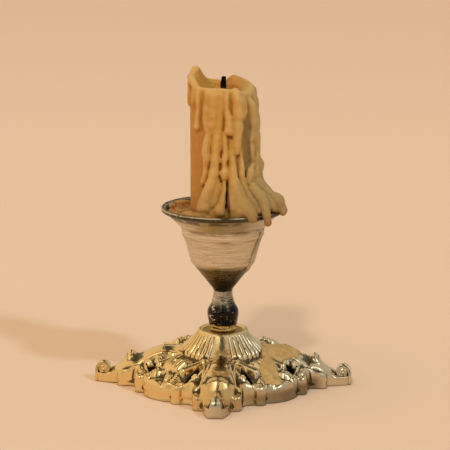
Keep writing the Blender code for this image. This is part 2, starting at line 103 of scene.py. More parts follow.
# Painted light among these: the pale and gold tones partly stand for cool and warm light, the front tip tone
# is a painted highlight, and the slots tone is painted shade; the hollows get grime with painted shade.
PLATE_TONES = {"pale": (0.76, 0.69, 0.53), "gold": (0.86, 0.65, 0.32), "front foot": (0.60, 0.39, 0.15),
               "front tip highlight": (0.66, 0.60, 0.46), "seat": (0.80, 0.56, 0.21), "dull": (0.135, 0.095, 0.040),
               "dirt_and_shade": (0.06, 0.052, 0.025), "slots": (0.010, 0.009, 0.006), "ground": (0.26, 0.19, 0.10)}
STEEL_TONES = {"clean": (0.46, 0.44, 0.41), "rust": (0.22, 0.16, 0.10)}
# The far tone is painted shade where the light falls off.
PAPER_TONES = {"near": (0.80, 0.53, 0.325), "far": (0.73, 0.46, 0.28)}
ROOM_TONES = {"shade": (0.30, 0.275, 0.25), "light": (1.08, 0.98, 0.80), "wall": (0.52, 0.44, 0.33),
              "left wall": (0.90, 0.67, 0.41), "front glow": (1.5, 1.3, 1.0), "right glow": (1.35, 1.35, 1.3),
              "pane": (6.5, 6.0, 5.0), "gap": (0.06, 0.066, 0.05)}
WAX_SCATTER = (1.0, 0.45, 0.15)


# ---------------------------------------------------------------- shader expressions


class Wire:
    """An output of a shader node. Arithmetic on it adds Math nodes; node() adds any other node."""

    def __init__(self, socket):
        self.socket = socket
        self.tree = socket.id_data

    def node(self, kind, settings=(), inputs=(), out=0):
        """Adds a node of that type: settings first, then values or links of its inputs, by name or place."""
        made = self.tree.nodes.new("ShaderNode" + kind)
        for name, value in dict(settings).items():
            setattr(made, name, value)
        for name, value in dict(inputs).items():
            if isinstance(value, Wire):
                self.tree.links.new(value.socket, made.inputs[name])
            else:
                made.inputs[name].default_value = value
        return Wire(made.outputs[out])

    def math(self, operation, *values, clamp=False):
        settings = {"operation": operation, "use_clamp": clamp}
        return self.node("Math", settings, dict(enumerate(values)))

    def __add__(self, other): return self.math("ADD", self, other)
    def __radd__(self, other): return self.math("ADD", other, self)
    def __sub__(self, other): return self.math("SUBTRACT", self, other)
    def __rsub__(self, other): return self.math("SUBTRACT", other, self)
    def __mul__(self, other): return self.math("MULTIPLY", self, other)
    def __rmul__(self, other): return self.math("MULTIPLY", other, self)
    def __pow__(self, other): return self.math("POWER", self, other)
    def __abs__(self): return self.math("ABSOLUTE", self)

    def clamped(self):
        return self.math("ADD", self, 0.0, clamp=True)

    def between(self, low, high):
        """0 below low, 1 above high, and a smooth step between them."""
        inputs = {"Value": self, "From Min": low, "From Max": high}
        return self.node("MapRange", {"interpolation_type": "SMOOTHSTEP"}, inputs)

    def within(self, start, full, falling, end):
        """1 from full to falling, easing to 0 at start and at end."""
        return self.between(start, full) * (1.0 - self.between(falling, end))

    def near(self, middle, half):
        """1 at middle, falling to 0 at half below and above it."""
        return 1.0 - abs(self - middle).between(0.0, half)

    def mix(self, first, second):
        """first where this is 0, second where it is 1; both are colours or wires of colour."""
        inputs = {0: self, 6: full_colour(first), 7: full_colour(second)}
        return self.node("Mix", {"data_type": "RGBA"}, inputs, out=2)


def full_colour(colour):
    return colour if isinstance(colour, Wire) else (*colour, 1.0)


class Finish:
    """A material and what its shader is worked out from: the place on the object, in millimetres."""

    def __init__(self, name, **constants):
        self.material = bpy.data.materials.new(name)
        self.material.use_nodes = True
        self.tree = self.material.node_tree
        self.shader = self.tree.nodes["Principled BSDF"]
        for socket, value in constants.items():
            self.shader.inputs[socket.replace("_", " ")].default_value = value
        self.place = Wire(self.tree.nodes.new("ShaderNodeTexCoord").outputs["Object"])
        split = self.place.node("SeparateXYZ", inputs={0: self.place})
        axes = [Wire(output) * PER_METRE for output in split.socket.node.outputs]
        self.x, self.y, self.z = axes
        self.radius = (self.x * self.x + self.y * self.y) ** 0.5

    def turn(self):
        """The angle round the upright axis, in radians, from the right."""
        return self.y.math("ARCTAN2", self.y, self.x)

    def degrees(self):
        return self.turn() * (180 / math.pi)

    def attribute(self, name):
        return self.place.node("Attribute", {"attribute_name": name}, out=2)

    def grain(self, size, detail=3.0, rough=0.55, stretch=(1, 1, 1), shift=(0, 0, 0)):
        """Noise from 0 to 1 with patches about size millimetres across."""
        scale = [PER_METRE / size * part for part in stretch]
        where = self.place.node("Mapping", inputs={"Vector": self.place, "Scale": scale, "Location": shift})
        inputs = {"Vector": where, "Scale": 1.0, "Detail": detail, "Roughness": rough}
        return self.place.node("TexNoise", inputs=inputs)

    def streaks(self, pitch, length):
        """Noise drawn out round the axis, as a lathe tool or a polishing cloth leaves it."""
        drawn = {"X": self.turn() * (1.0 / length), "Y": self.radius * (0.35 / pitch),
                 "Z": self.z * (1.0 / pitch)}
        where = self.place.node("CombineXYZ", inputs=drawn)
        inputs = {"Vector": where, "Scale": 1.0, "Detail": 4.0, "Roughness": 0.6}
        return self.place.node("TexNoise", inputs=inputs)

    def bump(self, height, depth):
        """Roughens the surface by height times depth millimetres."""
        return self.place.node("Bump", inputs={"Height": height, "Distance": depth * MM, "Strength": 1.0})

    def link(self, **wires):
        for socket, wire in wires.items():
            self.tree.links.new(wire.socket, self.shader.inputs[socket.replace("_", " ")])
        return self.material


# ---------------------------------------------------------------- finishes


def wax_finish():
    """Tan wax over an amber column: dark brown painted shade in its hollows and recesses, paler ridges as a
    painted highlight, and greyer at the right from dust and painted shade.
    """
    tone = WAX_TONES
    wax = Finish("wax", Subsurface_Weight=0.30, Subsurface_Scale=0.0016, Subsurface_Radius=WAX_SCATTER,
                 IOR=1.44, Roughness=0.45)
    recess, hollow = wax.attribute("recess"), wax.attribute("hollow")
    dripped = (wax.radius + wax.z.between(98.0, 102.5) * 3.0).between(11.05, 11.8)
    base = dripped.mix(tone["column"], tone["drips"])
    # Painted highlight: wax that stands out from the surface is made paler.
    base = ((0.0 - recess).between(0.0, 0.5) * dripped * 0.6).mix(base, tone["ridges"])
    # Dust, and painted shade on the right side: the wax turns greyer towards the right.
    dust_and_shade = (wax.x + wax.grain(9.0) * 8.0).between(6.0, 19.0)
    base = (dust_and_shade * 0.8).mix(base, tone["dust"])
    low = 1.0 - (wax.z + wax.grain(5.0) * 8.0).between(62.0, 82.0)
    base = (low * dripped * 0.75).mix(base, tone["low"])
    base = (wax.grain(2.6, detail=5).between(0.50, 0.75) * 0.30).mix(base, tone["mottling"])
    stained = wax.grain(4.5, detail=6, rough=0.65, shift=(3, 1, 0)).between(0.52, 0.70) * dust_and_shade
    base = (stained * 0.6).mix(base, tone["stains"])
    # Painted shade: recesses in the wax are darkened, greyer towards the right.
    recess_shade = recess.between(0.05, 0.65) * dripped.mix((0.5, 0.5, 0.5), (0.9, 0.9, 0.9))
    base = recess_shade.mix(base, dust_and_shade.mix(tone["recess"], tone["dusty recess"]))
    degrees = wax.degrees()
    # Painted shade: the bare column in the valley between the front runs and the right group is darkened.
    furrow_shade = degrees.within(-51.0, -47.0, -35.0, -31.0) * wax.z.within(67.0, 71.0, 89.0, 95.0)
    furrow_shade = furrow_shade * (1.0 - wax.radius.between(11.5, 12.4))
    base = (furrow_shade * 0.75).mix(base, tone["furrow_shade"])
    # Painted shade: a dark slit low in the pile at the front.
    slit_shade = degrees.within(-82.5, -81.0, -79.0, -77.5) * wax.z.within(60.5, 62.0, 71.0, 74.0)
    base = (slit_shade * 0.7).mix(base, tone["slit_shade"])
    # Painted shade where runs meet in a crease.
    base = (hollow.between(0.15, 0.9) * 0.6).mix(base, tone["crease_shade"])
    film = wax.z.within(56.5, 57.5, 61.0, 62.2) * (1.0 - wax.x.between(-4.0, 4.0))
    brown = wax.grain(3.0, detail=5).between(0.40, 0.62).mix(tone["thin film"], tone["film"])
    base = (film * 0.9).mix(base, brown)
    base = (1.0 - wax.z.between(54.5, 56.0)).mix(base, tone["run"])
    rough = 0.42 + wax.grain(1.2) * 0.2
    pits = wax.grain(0.55, detail=2) * 0.5 + wax.grain(2.2) * 0.8
    return wax.link(Base_Color=base, Roughness=rough, Normal=wax.bump(pits, 0.10))


def dull_wax_finish():
    tone = SPILT_TONES
    wax = Finish("dull_wax", Subsurface_Weight=0.25, Subsurface_Scale=0.0015, Subsurface_Radius=WAX_SCATTER,
                 IOR=1.44, Roughness=0.5)
    base = wax.grain(3.0, detail=4).between(0.35, 0.7).mix(tone["dark"], tone["pale"])
    # Painted shade in the hollows of the spilt wax.
    base = (wax.attribute("hollow").between(0.05, 0.6) * 0.7).mix(base, tone["crease_shade"])
    rough = 0.42 + wax.grain(1.5) * 0.25
    return wax.link(Base_Color=base, Roughness=rough, Normal=wax.bump(wax.grain(1.4), 0.12))


def wick_finish():
    char = Finish("charred_wick", Roughness=0.95, IOR=1.4, Specular_IOR_Level=0.1)
    base = char.z.between(101.6, 103.2).mix(WICK_TONES["waxed"], WICK_TONES["charred"])
    strands = char.grain(0.35, detail=3, stretch=(1, 1, 0.35))
    return char.link(Base_Color=base, Normal=char.bump(strands, 0.25))


def cup_finish():
    """Worn silver plate over brass: fine turning lines, olive bands under the flange, a black cone."""
    tone = CUP_TONES
    cup = Finish("worn_cup", Metallic=1.0, Roughness=0.4)
    fine, broad, blotch = cup.streaks(0.22, 0.8), cup.streaks(1.3, 0.5), cup.grain(5.0, detail=4)
    thin, flecks = cup.streaks(0.35, 0.35), cup.grain(0.9, detail=4)
    base = fine.between(0.3, 0.7).mix(tone["rubbed"], tone["bright"])
    base = (thin.between(0.55, 0.72) * 0.7).mix(base, tone["scratches"])
    base = (cup.x.between(2.0, 20.0) * 0.6).mix(base, tone["right"])
    base = (broad.between(0.50, 0.70) * 0.45).mix(base, tone["brown"])
    base = (blotch.between(0.55, 0.75) * 0.4).mix(base, tone["brass"])
    # Towards the back the cup turns olive: tarnish, and painted shade along the edges that turn away from the
    # front.
    back = (cup.y * 0.09 + blotch * 1.1).between(0.10, 0.9)
    seams = cup.z.near(54.7, 1.3) * (blotch * 0.7 + broad * 0.6).between(0.52, 0.85) * 0.75
    seams = seams + cup.z.near(51.6, 0.9) * blotch.between(0.45, 0.62) * 0.4
    under_lip = cup.z.near(58.9, 1.6) * (blotch - cup.x * 0.012).between(0.40, 0.56)
    dark = (seams + back * 0.5 + under_lip * 0.9).clamped()
    base = dark.mix(base, tone["olive"])
    olive = (cup.z + blotch * 6.0 - cup.x * 0.15).between(37.5, 42.5)
    rubbed = 0.08 + 0.92 * olive * (fine * 0.6 + flecks * 0.6).between(0.45, 0.70)
    cone = 1.0 - (cup.z + broad * 1.6).between(41.6, 42.6)
    base = cone.mix(base, rubbed.mix(tone["cone"], tone["cone olive"]))
    lip = (cup.z + blotch * 0.6 - 0.3).between(59.3, 59.9)
    silver = cup.z.near(61.25, 0.35) * blotch.between(0.35, 0.55) + flecks.between(0.60, 0.70) * 0.5
    base = (lip * (1.0 - silver.clamped())).clamped().mix(base, tone["lip"])
    rough = 0.24 + fine * 0.16 + dark * 0.12 + broad * 0.1
    turning = fine + broad * 1.2 + flecks * lip
    return cup.link(Base_Color=base, Roughness=rough, Normal=cup.bump(turning, 0.035))


def stem_finish():
    """Black lacquer, rubbed through to silver on the waist and in a few flecks drawn round it; the flecks and
    the waist's silver lean to the left as painted glints.
    """
    tone = STEM_TONES
    stem = Finish("black_stem", Metallic=1.0, Roughness=0.3, Coat_Weight=0.25, Coat_Roughness=0.03)
    fine, flecks = stem.streaks(0.3, 0.7), stem.grain(1.5, detail=5, rough=0.7, stretch=(0.6, 0.6, 1.6))
    # Painted glints: the waist's silver thins towards the right and the flecks gather on the left, where
    # light falls.
    waist = stem.z.between(26.6, 29.5) * (fine * 0.7 + flecks * 0.5 - stem.x * 0.02).between(0.40, 0.70)
    left = 1.0 - stem.x.between(-4.8, 0.0)
    wear_and_glints = (flecks + left * 0.075).between(0.625, 0.67) * 0.9 + waist * 0.7
    wear_and_glints = (wear_and_glints + stem.z.near(20.0, 1.2) * flecks.between(0.44, 0.56) + stem.z.near(19.1, 0.5)).clamped()
    gilt = 1.0 - stem.z.between(19.4, 20.8)
    base = wear_and_glints.mix(tone["lacquer"], tone["silver"])
    base = (gilt * wear_and_glints).mix(base, tone["gilt"])
    rough = 0.12 + wear_and_glints * 0.14 + fine * 0.06
    return stem.link(Base_Color=base, Roughness=rough, Normal=stem.bump(flecks + fine, 0.06))


def plated_finish():
    """Gold-toned plate: pale on the right, partly as painted cool light; green-black in the hollows from
    grime and painted shade; khaki low down and darker along the ground.
    """
    tone = PLATE_TONES
    cast = Finish("plated_casting", Metallic=1.0, Roughness=0.15)
    hollow, patches = cast.attribute("hollow"), cast.grain(11.0, detail=4)
    # Painted light: the plate is paler to the right, where the cool lamp falls, and more golden to the left,
    # besides patches at random.
    gold = (cast.x * -0.04 + patches * 1.4 - 0.08).clamped()
    base = gold.mix(tone["pale"], tone["gold"])
    forward = 0.0 - cast.y
    base = (forward.between(28.0, 34.0) * 0.45).mix(base, tone["front foot"])
    # Painted highlight: the tip at the front is made silvery pale.
    base = forward.between(41.0, 42.0).mix(base, tone["front tip highlight"])
    seat = 1.0 - cast.radius.between(6.9, 7.6)
    base = seat.mix(base, tone["seat"])
    dull = (cast.x * 0.04 + patches * 0.8 - 0.28).clamped() * (1.0 - cast.z.between(3.0, 6.0))
    dull = dull * (1.0 - cast.x.between(31.0, 36.0) * 0.8)
    base = (dull * 0.8).mix(base, tone["dull"])
    # Grime and painted shade: the plate darkens where it lies in a hollow.
    dirt_and_shade = (hollow * 1.9 + cast.grain(2.0, detail=5) * 0.5 - 0.22).between(0.1, 0.7)
    folded = cast.degrees()
    from_middle = 45.0 - folded.math("PINGPONG", folded, 45.0)
    reeds = from_middle * (math.pi / REED_PITCH)
    # Grime and painted shade in the grooves between the dome's reeds.
    valley = 1.0 - abs(reeds.math("COSINE", reeds)).between(0.08, 0.45)
    valley = valley * (1.0 - from_middle.between(30.0, 31.0)) * cast.radius.within(8.6, 9.0, 13.9, 14.2)
    dirt_and_shade = (dirt_and_shade * 0.9 + valley * (0.5 + patches * 0.8)).clamped()
    base = dirt_and_shade.mix(base, tone["dirt_and_shade"])
    # Painted shade: the walls low in the slots are made near black.
    inside = cast.attribute("inside")
    base = inside.mix(base, tone["slots"])
    ground = 1.0 - (cast.z + cast.grain(6.0) * 1.6).between(0.5, 1.8)
    base = (ground * 0.5).mix(base, tone["ground"])
    rough = 0.10 + dirt_and_shade * 0.3 + patches * 0.08 + ground * 0.15 + dull * 0.12 + inside * 0.4 + seat * 0.2
    ripple = cast.grain(1.6, detail=3) + cast.grain(0.4, detail=2) * 0.2
    return cast.link(Base_Color=base, Roughness=rough.clamped(), Normal=cast.bump(ripple, 0.05))


def screw_finish():
    steel = Finish("screw_steel", Metallic=1.0, Roughness=0.4)
    spots = steel.grain(1.8, detail=4)
    base = spots.between(0.45, 0.7).mix(STEEL_TONES["clean"], STEEL_TONES["rust"])
    return steel.link(Base_Color=base, Roughness=0.3 + spots * 0.3)


# ---------------------------------------------------------------- shared mesh helpers


def object_of(name, bm, material, recalculate=True):
    """Turns a bmesh in millimetres into a smooth object in metres, with its place in its mesh."""
    if recalculate:
        bmesh.ops.recalc_face_normals(bm, faces=bm.faces)
    bmesh.ops.scale(bm, vec=(MM, MM, MM), verts=bm.verts)
    mesh = bpy.data.meshes.new(name)
    bm.to_mesh(mesh)
    bm.free()
    mesh.shade_smooth()
    mesh.materials.append(material)
    obj = bpy.data.objects.new(name, mesh)
    bpy.context.scene.collection.objects.link(obj)
    return obj


def soften(obj, factor, rounds):
    modifier = obj.modifiers.new("soften", "SMOOTH")
    modifier.factor = factor
    modifier.iterations = rounds


def apply_modifiers(obj):
    """Replaces the object's mesh by what its modifiers make of it."""
    graph = bpy.context.evaluated_depsgraph_get()
    made = bpy.data.meshes.new_from_object(obj.evaluated_get(graph))
    obj.modifiers.clear()
    obj.data = made


def points_of(mesh):
    flat = np.empty(len(mesh.vertices) * 3, np.float32)
    mesh.vertices.foreach_get("co", flat)
    return flat.reshape(-1, 3).astype(np.float64)


def normals_of(mesh):
    flat = np.empty(len(mesh.vertices) * 3, np.float32)
    mesh.vertex_normals.foreach_get("vector", flat)
    return flat.reshape(-1, 3)


def set_points(mesh, points):
    mesh.vertices.foreach_set("co", points.astype(np.float32).ravel())
    mesh.update()


def store(mesh, name, values):
    layer = mesh.attributes.get(name) or mesh.attributes.new(name, "FLOAT", "POINT")
    layer.data.foreach_set("value", np.asarray(values, np.float32))


def store_zeros(mesh, *names):
    for name in names:
        store(mesh, name, np.zeros(len(mesh.vertices)))


def store_hollows(mesh, reach, rounds, name="hollow"):
    """Marks how far each point lies in a hollow, in reach millimetres: the mean of the points round it,
    taken over several rounds, stands out of the surface there."""
    points = points_of(mesh)
    edges = np.empty(len(mesh.edges) * 2, np.int32)
    mesh.edges.foreach_get("vertices", edges)
    first, second = edges.reshape(-1, 2).T
    count = np.bincount(edges, minlength=len(points))
    mean = points.copy()
    for _ in range(rounds):
        total = [np.bincount(first, part[second], len(part)) + np.bincount(second, part[first], len(part))
                 for part in mean.T]
        mean = 0.5 * mean + 0.5 * (np.array(total) / count).T
    depth = ((mean - points) * normals_of(mesh)).sum(1) / (reach * MM)
    store(mesh, name, np.clip(depth, -1, 1))


def turned(outline, steps):
    """An outline of (radius, height) turned about Z. It is closed unless both its ends are on Z."""
    bm = bmesh.new()
    points = [bm.verts.new((radius, 0, height)) for radius, height in outline]
    pairs = list(zip(points, points[1:]))
    if outline[0][0] or outline[-1][0]:
        pairs.append((points[-1], points[0]))
    edges = [bm.edges.new(pair) for pair in pairs]
    bmesh.ops.spin(bm, geom=points + edges, cent=(0, 0, 0), axis=(0, 0, 1), angle=math.tau,
                   steps=steps, use_merge=True, use_duplicate=False)
    bmesh.ops.remove_doubles(bm, verts=bm.verts, dist=0.0001)
    return bm


def rounded(outline, step):
    """A smooth curve through the points of an outline, a point about every step millimetres."""
    points = [Vector((*point, 0)) for point in outline]
    padded = [2 * points[0] - points[1], *points, 2 * points[-1] - points[-2]]
    curve = []
    for before, start, end, after in zip(padded, padded[1:], padded[2:], padded[3:]):
        count = max(1, round((end - start).length / step))
        lead, trail = (end - before) / 2, (after - start) / 2
        for i in range(count):
            t = i / count
            curve.append((2 * t**3 - 3 * t**2 + 1) * start + (t**3 - 2 * t**2 + t) * lead
                         + (3 * t**2 - 2 * t**3) * end + (t**3 - t**2) * trail)
    return [(point.x, point.y) for point in [*curve, points[-1]]]


def polar(radius, degrees, height):
    angle = math.radians(degrees)
    return Vector((radius * math.cos(angle), radius * math.sin(angle), height))


def value_at(place, profile):
    """The value at a place, or at many, of a profile: a list of (place, value)."""
    places, values = zip(*profile)
    return np.interp(place, places, values)


def ease(value, start, span):
    """0 up to start, then rising to 1 over span."""
    return min(1, max(0, (value - start) / span))


# ---------------------------------------------------------------- wax


def lump(bm, centre, radii, fineness=2):
    bmesh.ops.create_icosphere(bm, subdivisions=fineness, radius=1,
                               matrix=Matrix.Translation(centre) @ Matrix.Diagonal((*radii, 1)))


def join(bm, added):
    """Adds one bmesh to another, and frees it."""
    mesh = bpy.data.meshes.new("added")
    added.to_mesh(mesh)
    added.free()
    bm.from_mesh(mesh)
    bpy.data.meshes.remove(mesh)


def drip(bm, *stations):
    """A run of wax: balls strung close together through stations of (degrees, height, ball radius,
    distance of the ball's centre from the axis). It swells and strays a little on its way."""
    run = bmesh.new()
    for start, end in zip(stations, stations[1:]):
        first, last = polar(start[3], *start[:2]), polar(end[3], *end[:2])
        count = max(1, math.ceil((last - first).length / (0.3 * min(start[2], end[2]))))
        for i in range(count + 1):
            share = i / count
            centre = first.lerp(last, share)
            ball = start[2] + (end[2] - start[2]) * (3 * share**2 - 2 * share**3)
            ball *= 1 + 0.22 / (1 + ball) * noise.noise(centre * 0.5)
            centre += noise.noise_vector(centre * 0.35 + Vector((7, 0, 0))) * 0.28 / (0.4 + ball)
            lump(run, centre, (ball, ball, ball))
    join(bm, run)


def wax_column():
    """The standing column, with its crater and its rim burnt to an uneven height."""
    outer, inner, socket, rim = COLUMN_RADIUS, COLUMN_RADIUS - RIM_WALL, COLUMN_RADIUS - JOINT_GAP, RIM_TOP
    outline = rounded([(outer, 96), (outer - 0.1, 98.5), (outer - 0.4, rim - 1.9), (outer - 0.7, rim - 0.6),
                       (outer - 1.2, rim), (inner + 0.1, rim - 0.35), (inner - 0.5, rim - 1.2),
                       (inner - 2.2, CRATER_FLOOR + 0.1), (0, CRATER_FLOOR)], 0.4)
    bm = turned([(0, SOCKET_FLOOR), (socket, SOCKET_FLOOR), (socket, 56), (outer, 58), *outline], 144)
    for vert in bm.verts:
        reach = ease(vert.co.z, 96, 6) * ease(vert.co.xy.length, 5, 3)
        angle = math.degrees(math.atan2(vert.co.y, vert.co.x))
        vert.co.z += reach * (value_at(angle, RIM) - rim)
    return bm


def rim_lobes(bm):
    """The thick crest that climbs to the peak at the back left, the front lip and the lump at the back
    right."""
    drip(bm, (-132, 101.9, 1.1, 9.9), (-146, 102.2, 1.25, 10.15), (-157, 103.8, 1.3, 10.2),
         (-168, 104.7, 1.4, 10.3), (-176, 105.4, 1.4, 10.4))
    drip(bm, (176, 105.6, 1.3, 10.3), (168, 106.6, 1.5, 10.1), (161, 107.3, 1.75, 9.95))
    drip(bm, (161, 107.2, 1.7, 10.0), (153, 106.9, 1.3, 9.9), (145, 105.7, 1.1, 10.0))
    drip(bm, (178, 105.6, 1.0, 11.1), (-179, 104.2, 0.75, 11.1), (-178, 103.0, 0.95, 11.2))
    drip(bm, (-132, 101.9, 1.1, 9.9), (-117, 101.95, 1.15, 9.7), (-103, 102.0, 1.15, 9.7),
         (-89, 102.0, 1.15, 9.7), (-77, 101.7, 1.15, 9.7), (-65, 101.3, 1.3, 9.7), (-46, 100.7, 1.3, 9.9),
         (-33, 99.9, 1.4, 10.0), (-18, 100.6, 1.7, 9.3), (0, 101.0, 1.8, 9.0), (20, 101.6, 1.8, 9.0))
    drip(bm, (20, 101.6, 1.9, 8.8), (38, 102.4, 1.9, 8.7), (55, 103.1, 1.9, 8.5), (68, 103.5, 1.8, 8.5),
         (77, 102.8, 1.5, 8.8), (84, 102.2, 1.2, 9.2))
    drip(bm, (-25, 100.0, 1.8, 8.6), (0, 100.6, 2.2, 7.9), (25, 101.0, 2.3, 7.6), (50, 101.6, 2.3, 7.4),
         (70, 101.6, 2.0, 7.6), (84, 101.0, 1.4, 8.4))


def left_drips(bm):
    """The short runs on the bare left side, and the sheet that parts into two long ones."""
    drip(bm, (-176, 103.0, 0.9, 11.0), (-176, 101.4, 0.8, 11.2), (-176, 99.3, 0.8, 11.25),
         (-176, 97.1, 0.85, 11.2), (-176, 96.3, 0.6, 11.1))
    drip(bm, (-137, 102.2, 1.2, 10.3), (-135, 100.9, 1.15, 10.7), (-134, 98.6, 1.0, 10.95),
         (-134, 95.6, 0.9, 11.1), (-134, 93.1, 1.0, 11.2), (-135, 91.2, 1.2, 11.3),
         (-135, 90.0, 1.3, 11.35))
    drip(bm, (-150, 102.4, 1.1, 10.5), (-150, 100.8, 1.0, 10.7), (-150, 98.7, 0.8, 10.9),
         (-151, 96.4, 0.5, 10.9))
    drip(bm, (-143, 101.6, 1.2, 10.3), (-143, 99.6, 0.9, 10.6), (-143, 97.6, 0.6, 10.7))
    drip(bm, (-112, 102.0, 1.2, 9.8), (-112, 100.8, 1.8, 10.2), (-114, 98.8, 1.8, 10.3),
         (-115, 95.5, 1.8, 10.4), (-115, 92.1, 1.8, 10.5), (-113, 89.6, 1.6, 10.7), (-112, 88, 1.35, 11.0),
         (-113, 85.9, 1.55, 11.2), (-115, 83.3, 1.65, 11.4), (-115, 80.8, 1.6, 11.5),
         (-115, 79.5, 1.45, 11.5), (-116, 77.6, 1.0, 11.3), (-117, 75.6, 1.0, 11.3),
         (-119, 73.5, 1.2, 11.4), (-121, 71.9, 1.3, 11.5), (-123, 70.8, 0.9, 11.4))
    drip(bm, (-102, 102.0, 1.3, 9.6), (-102, 100.6, 2.3, 9.9), (-103, 98.1, 2.6, 9.95),
         (-103, 94.7, 2.6, 9.95), (-104, 91.3, 2.4, 10.1), (-105, 88.8, 1.7, 10.4))
    drip(bm, (-92, 102.0, 1.2, 9.7), (-92, 100.6, 1.8, 10.1), (-92, 98.2, 1.8, 10.2),
         (-93, 94.8, 1.75, 10.3), (-95, 91.4, 1.7, 10.4), (-97, 88.1, 1.75, 10.7), (-98, 83.9, 1.7, 11.2),
         (-99, 81.4, 1.65, 11.4), (-100, 78.8, 1.6, 11.5), (-101, 76.3, 1.6, 11.6), (-102, 73.8, 1.8, 11.9),
         (-105, 71.2, 2.0, 12.4), (-107, 69.2, 2.15, 13.0), (-109, 67.1, 2.35, 13.8),
         (-111, 65.1, 2.5, 14.6), (-111, 63.4, 2.6, 15.3))
    drip(bm, (-96, 72.9, 1.0, 11.5), (-95, 70.4, 1.1, 12.2), (-97, 68.0, 1.4, 13.0), (-99, 66.0, 1.6, 13.8),
         (-101, 64.7, 1.6, 14.4))


def front_drips(bm):
    """The pair of runs beside the dark slot, the thin middle run and the broad one with its pile."""
    drip(bm, (-80, 102.0, 1.0, 9.9), (-80, 100.9, 0.9, 10.6), (-81, 99.5, 0.85, 11.0),
         (-81, 96.6, 0.85, 11.2), (-79, 94.5, 1.0, 11.3), (-77, 93.2, 1.2, 11.4), (-76, 91.1, 1.4, 11.5),
         (-77, 89.1, 1.6, 11.6), (-72, 88.7, 1.4, 11.5))
    drip(bm, (-61, 101.6, 1.5, 9.7), (-61, 100.4, 2.1, 10.1), (-60, 98.9, 2.2, 10.4),
         (-59, 96.3, 2.35, 10.8), (-59, 94.3, 2.3, 11.2), (-62, 92.2, 1.8, 11.5), (-61, 90.1, 2.1, 11.7),
         (-63, 87.6, 1.8, 11.8), (-64, 85.5, 1.6, 11.8), (-64, 83.4, 1.45, 11.8), (-64, 82.0, 1.15, 11.7))
    drip(bm, (-50, 100.6, 1.3, 10.2), (-50, 99.2, 1.35, 10.6), (-49, 97.0, 1.25, 11.2),
         (-49, 95.0, 1.2, 11.5), (-51, 93.1, 0.9, 11.5))
    drip(bm, (-83, 88.2, 0.9, 11.2), (-83, 87.3, 0.8, 11.3), (-84, 84.8, 0.9, 11.5), (-83, 82.3, 1.0, 11.6),
         (-84, 79.7, 1.1, 11.6), (-85, 78.0, 0.9, 11.5), (-84, 76.8, 1.0, 11.6), (-84, 75.3, 1.45, 12.0),
         (-84, 74.1, 1.35, 12.0), (-85, 72.8, 0.75, 11.9), (-85, 70.9, 0.7, 12.3), (-86, 68.9, 0.8, 13.0),
         (-87, 66.9, 1.0, 13.9), (-88, 65.4, 1.3, 14.8), (-90, 63.8, 1.7, 15.6), (-91, 62.9, 2.0, 16.2))
    drip(bm, (-72, 85.6, 0.8, 11.0), (-72, 83.9, 0.9, 11.1), (-71, 81.3, 1.15, 11.3),
         (-70, 78.8, 1.3, 11.4), (-71, 76.3, 1.5, 11.6), (-71, 73.8, 1.65, 12.0), (-69, 71.3, 2.0, 12.4),
         (-66, 68.8, 2.5, 13.0), (-65, 66.7, 2.9, 13.9), (-62, 65.0, 3.2, 15.0), (-61, 63.6, 3.3, 16.2),
         (-60, 62.8, 3.0, 17.8), (-59, 62.3, 2.5, 19.2), (-59, 61.6, 2.0, 20.4), (-59, 61.0, 1.5, 21.2))
    drip(bm, (-73, 70.9, 1.2, 12.3), (-73, 68.1, 1.5, 13.2), (-73, 65.7, 2.0, 14.4), (-72, 63.8, 2.4, 15.6),
         (-68, 62.8, 2.4, 16.6))
    drip(bm, (-55, 82.5, 0.7, 10.9), (-55, 80.6, 0.9, 11.1), (-54, 78.2, 1.1, 11.3), (-54, 75.6, 1.2, 11.5),
         (-55, 73.1, 1.15, 11.8), (-53, 70.9, 1.3, 12.2), (-51, 68.3, 1.5, 13.0), (-51, 66.4, 1.8, 14.0))


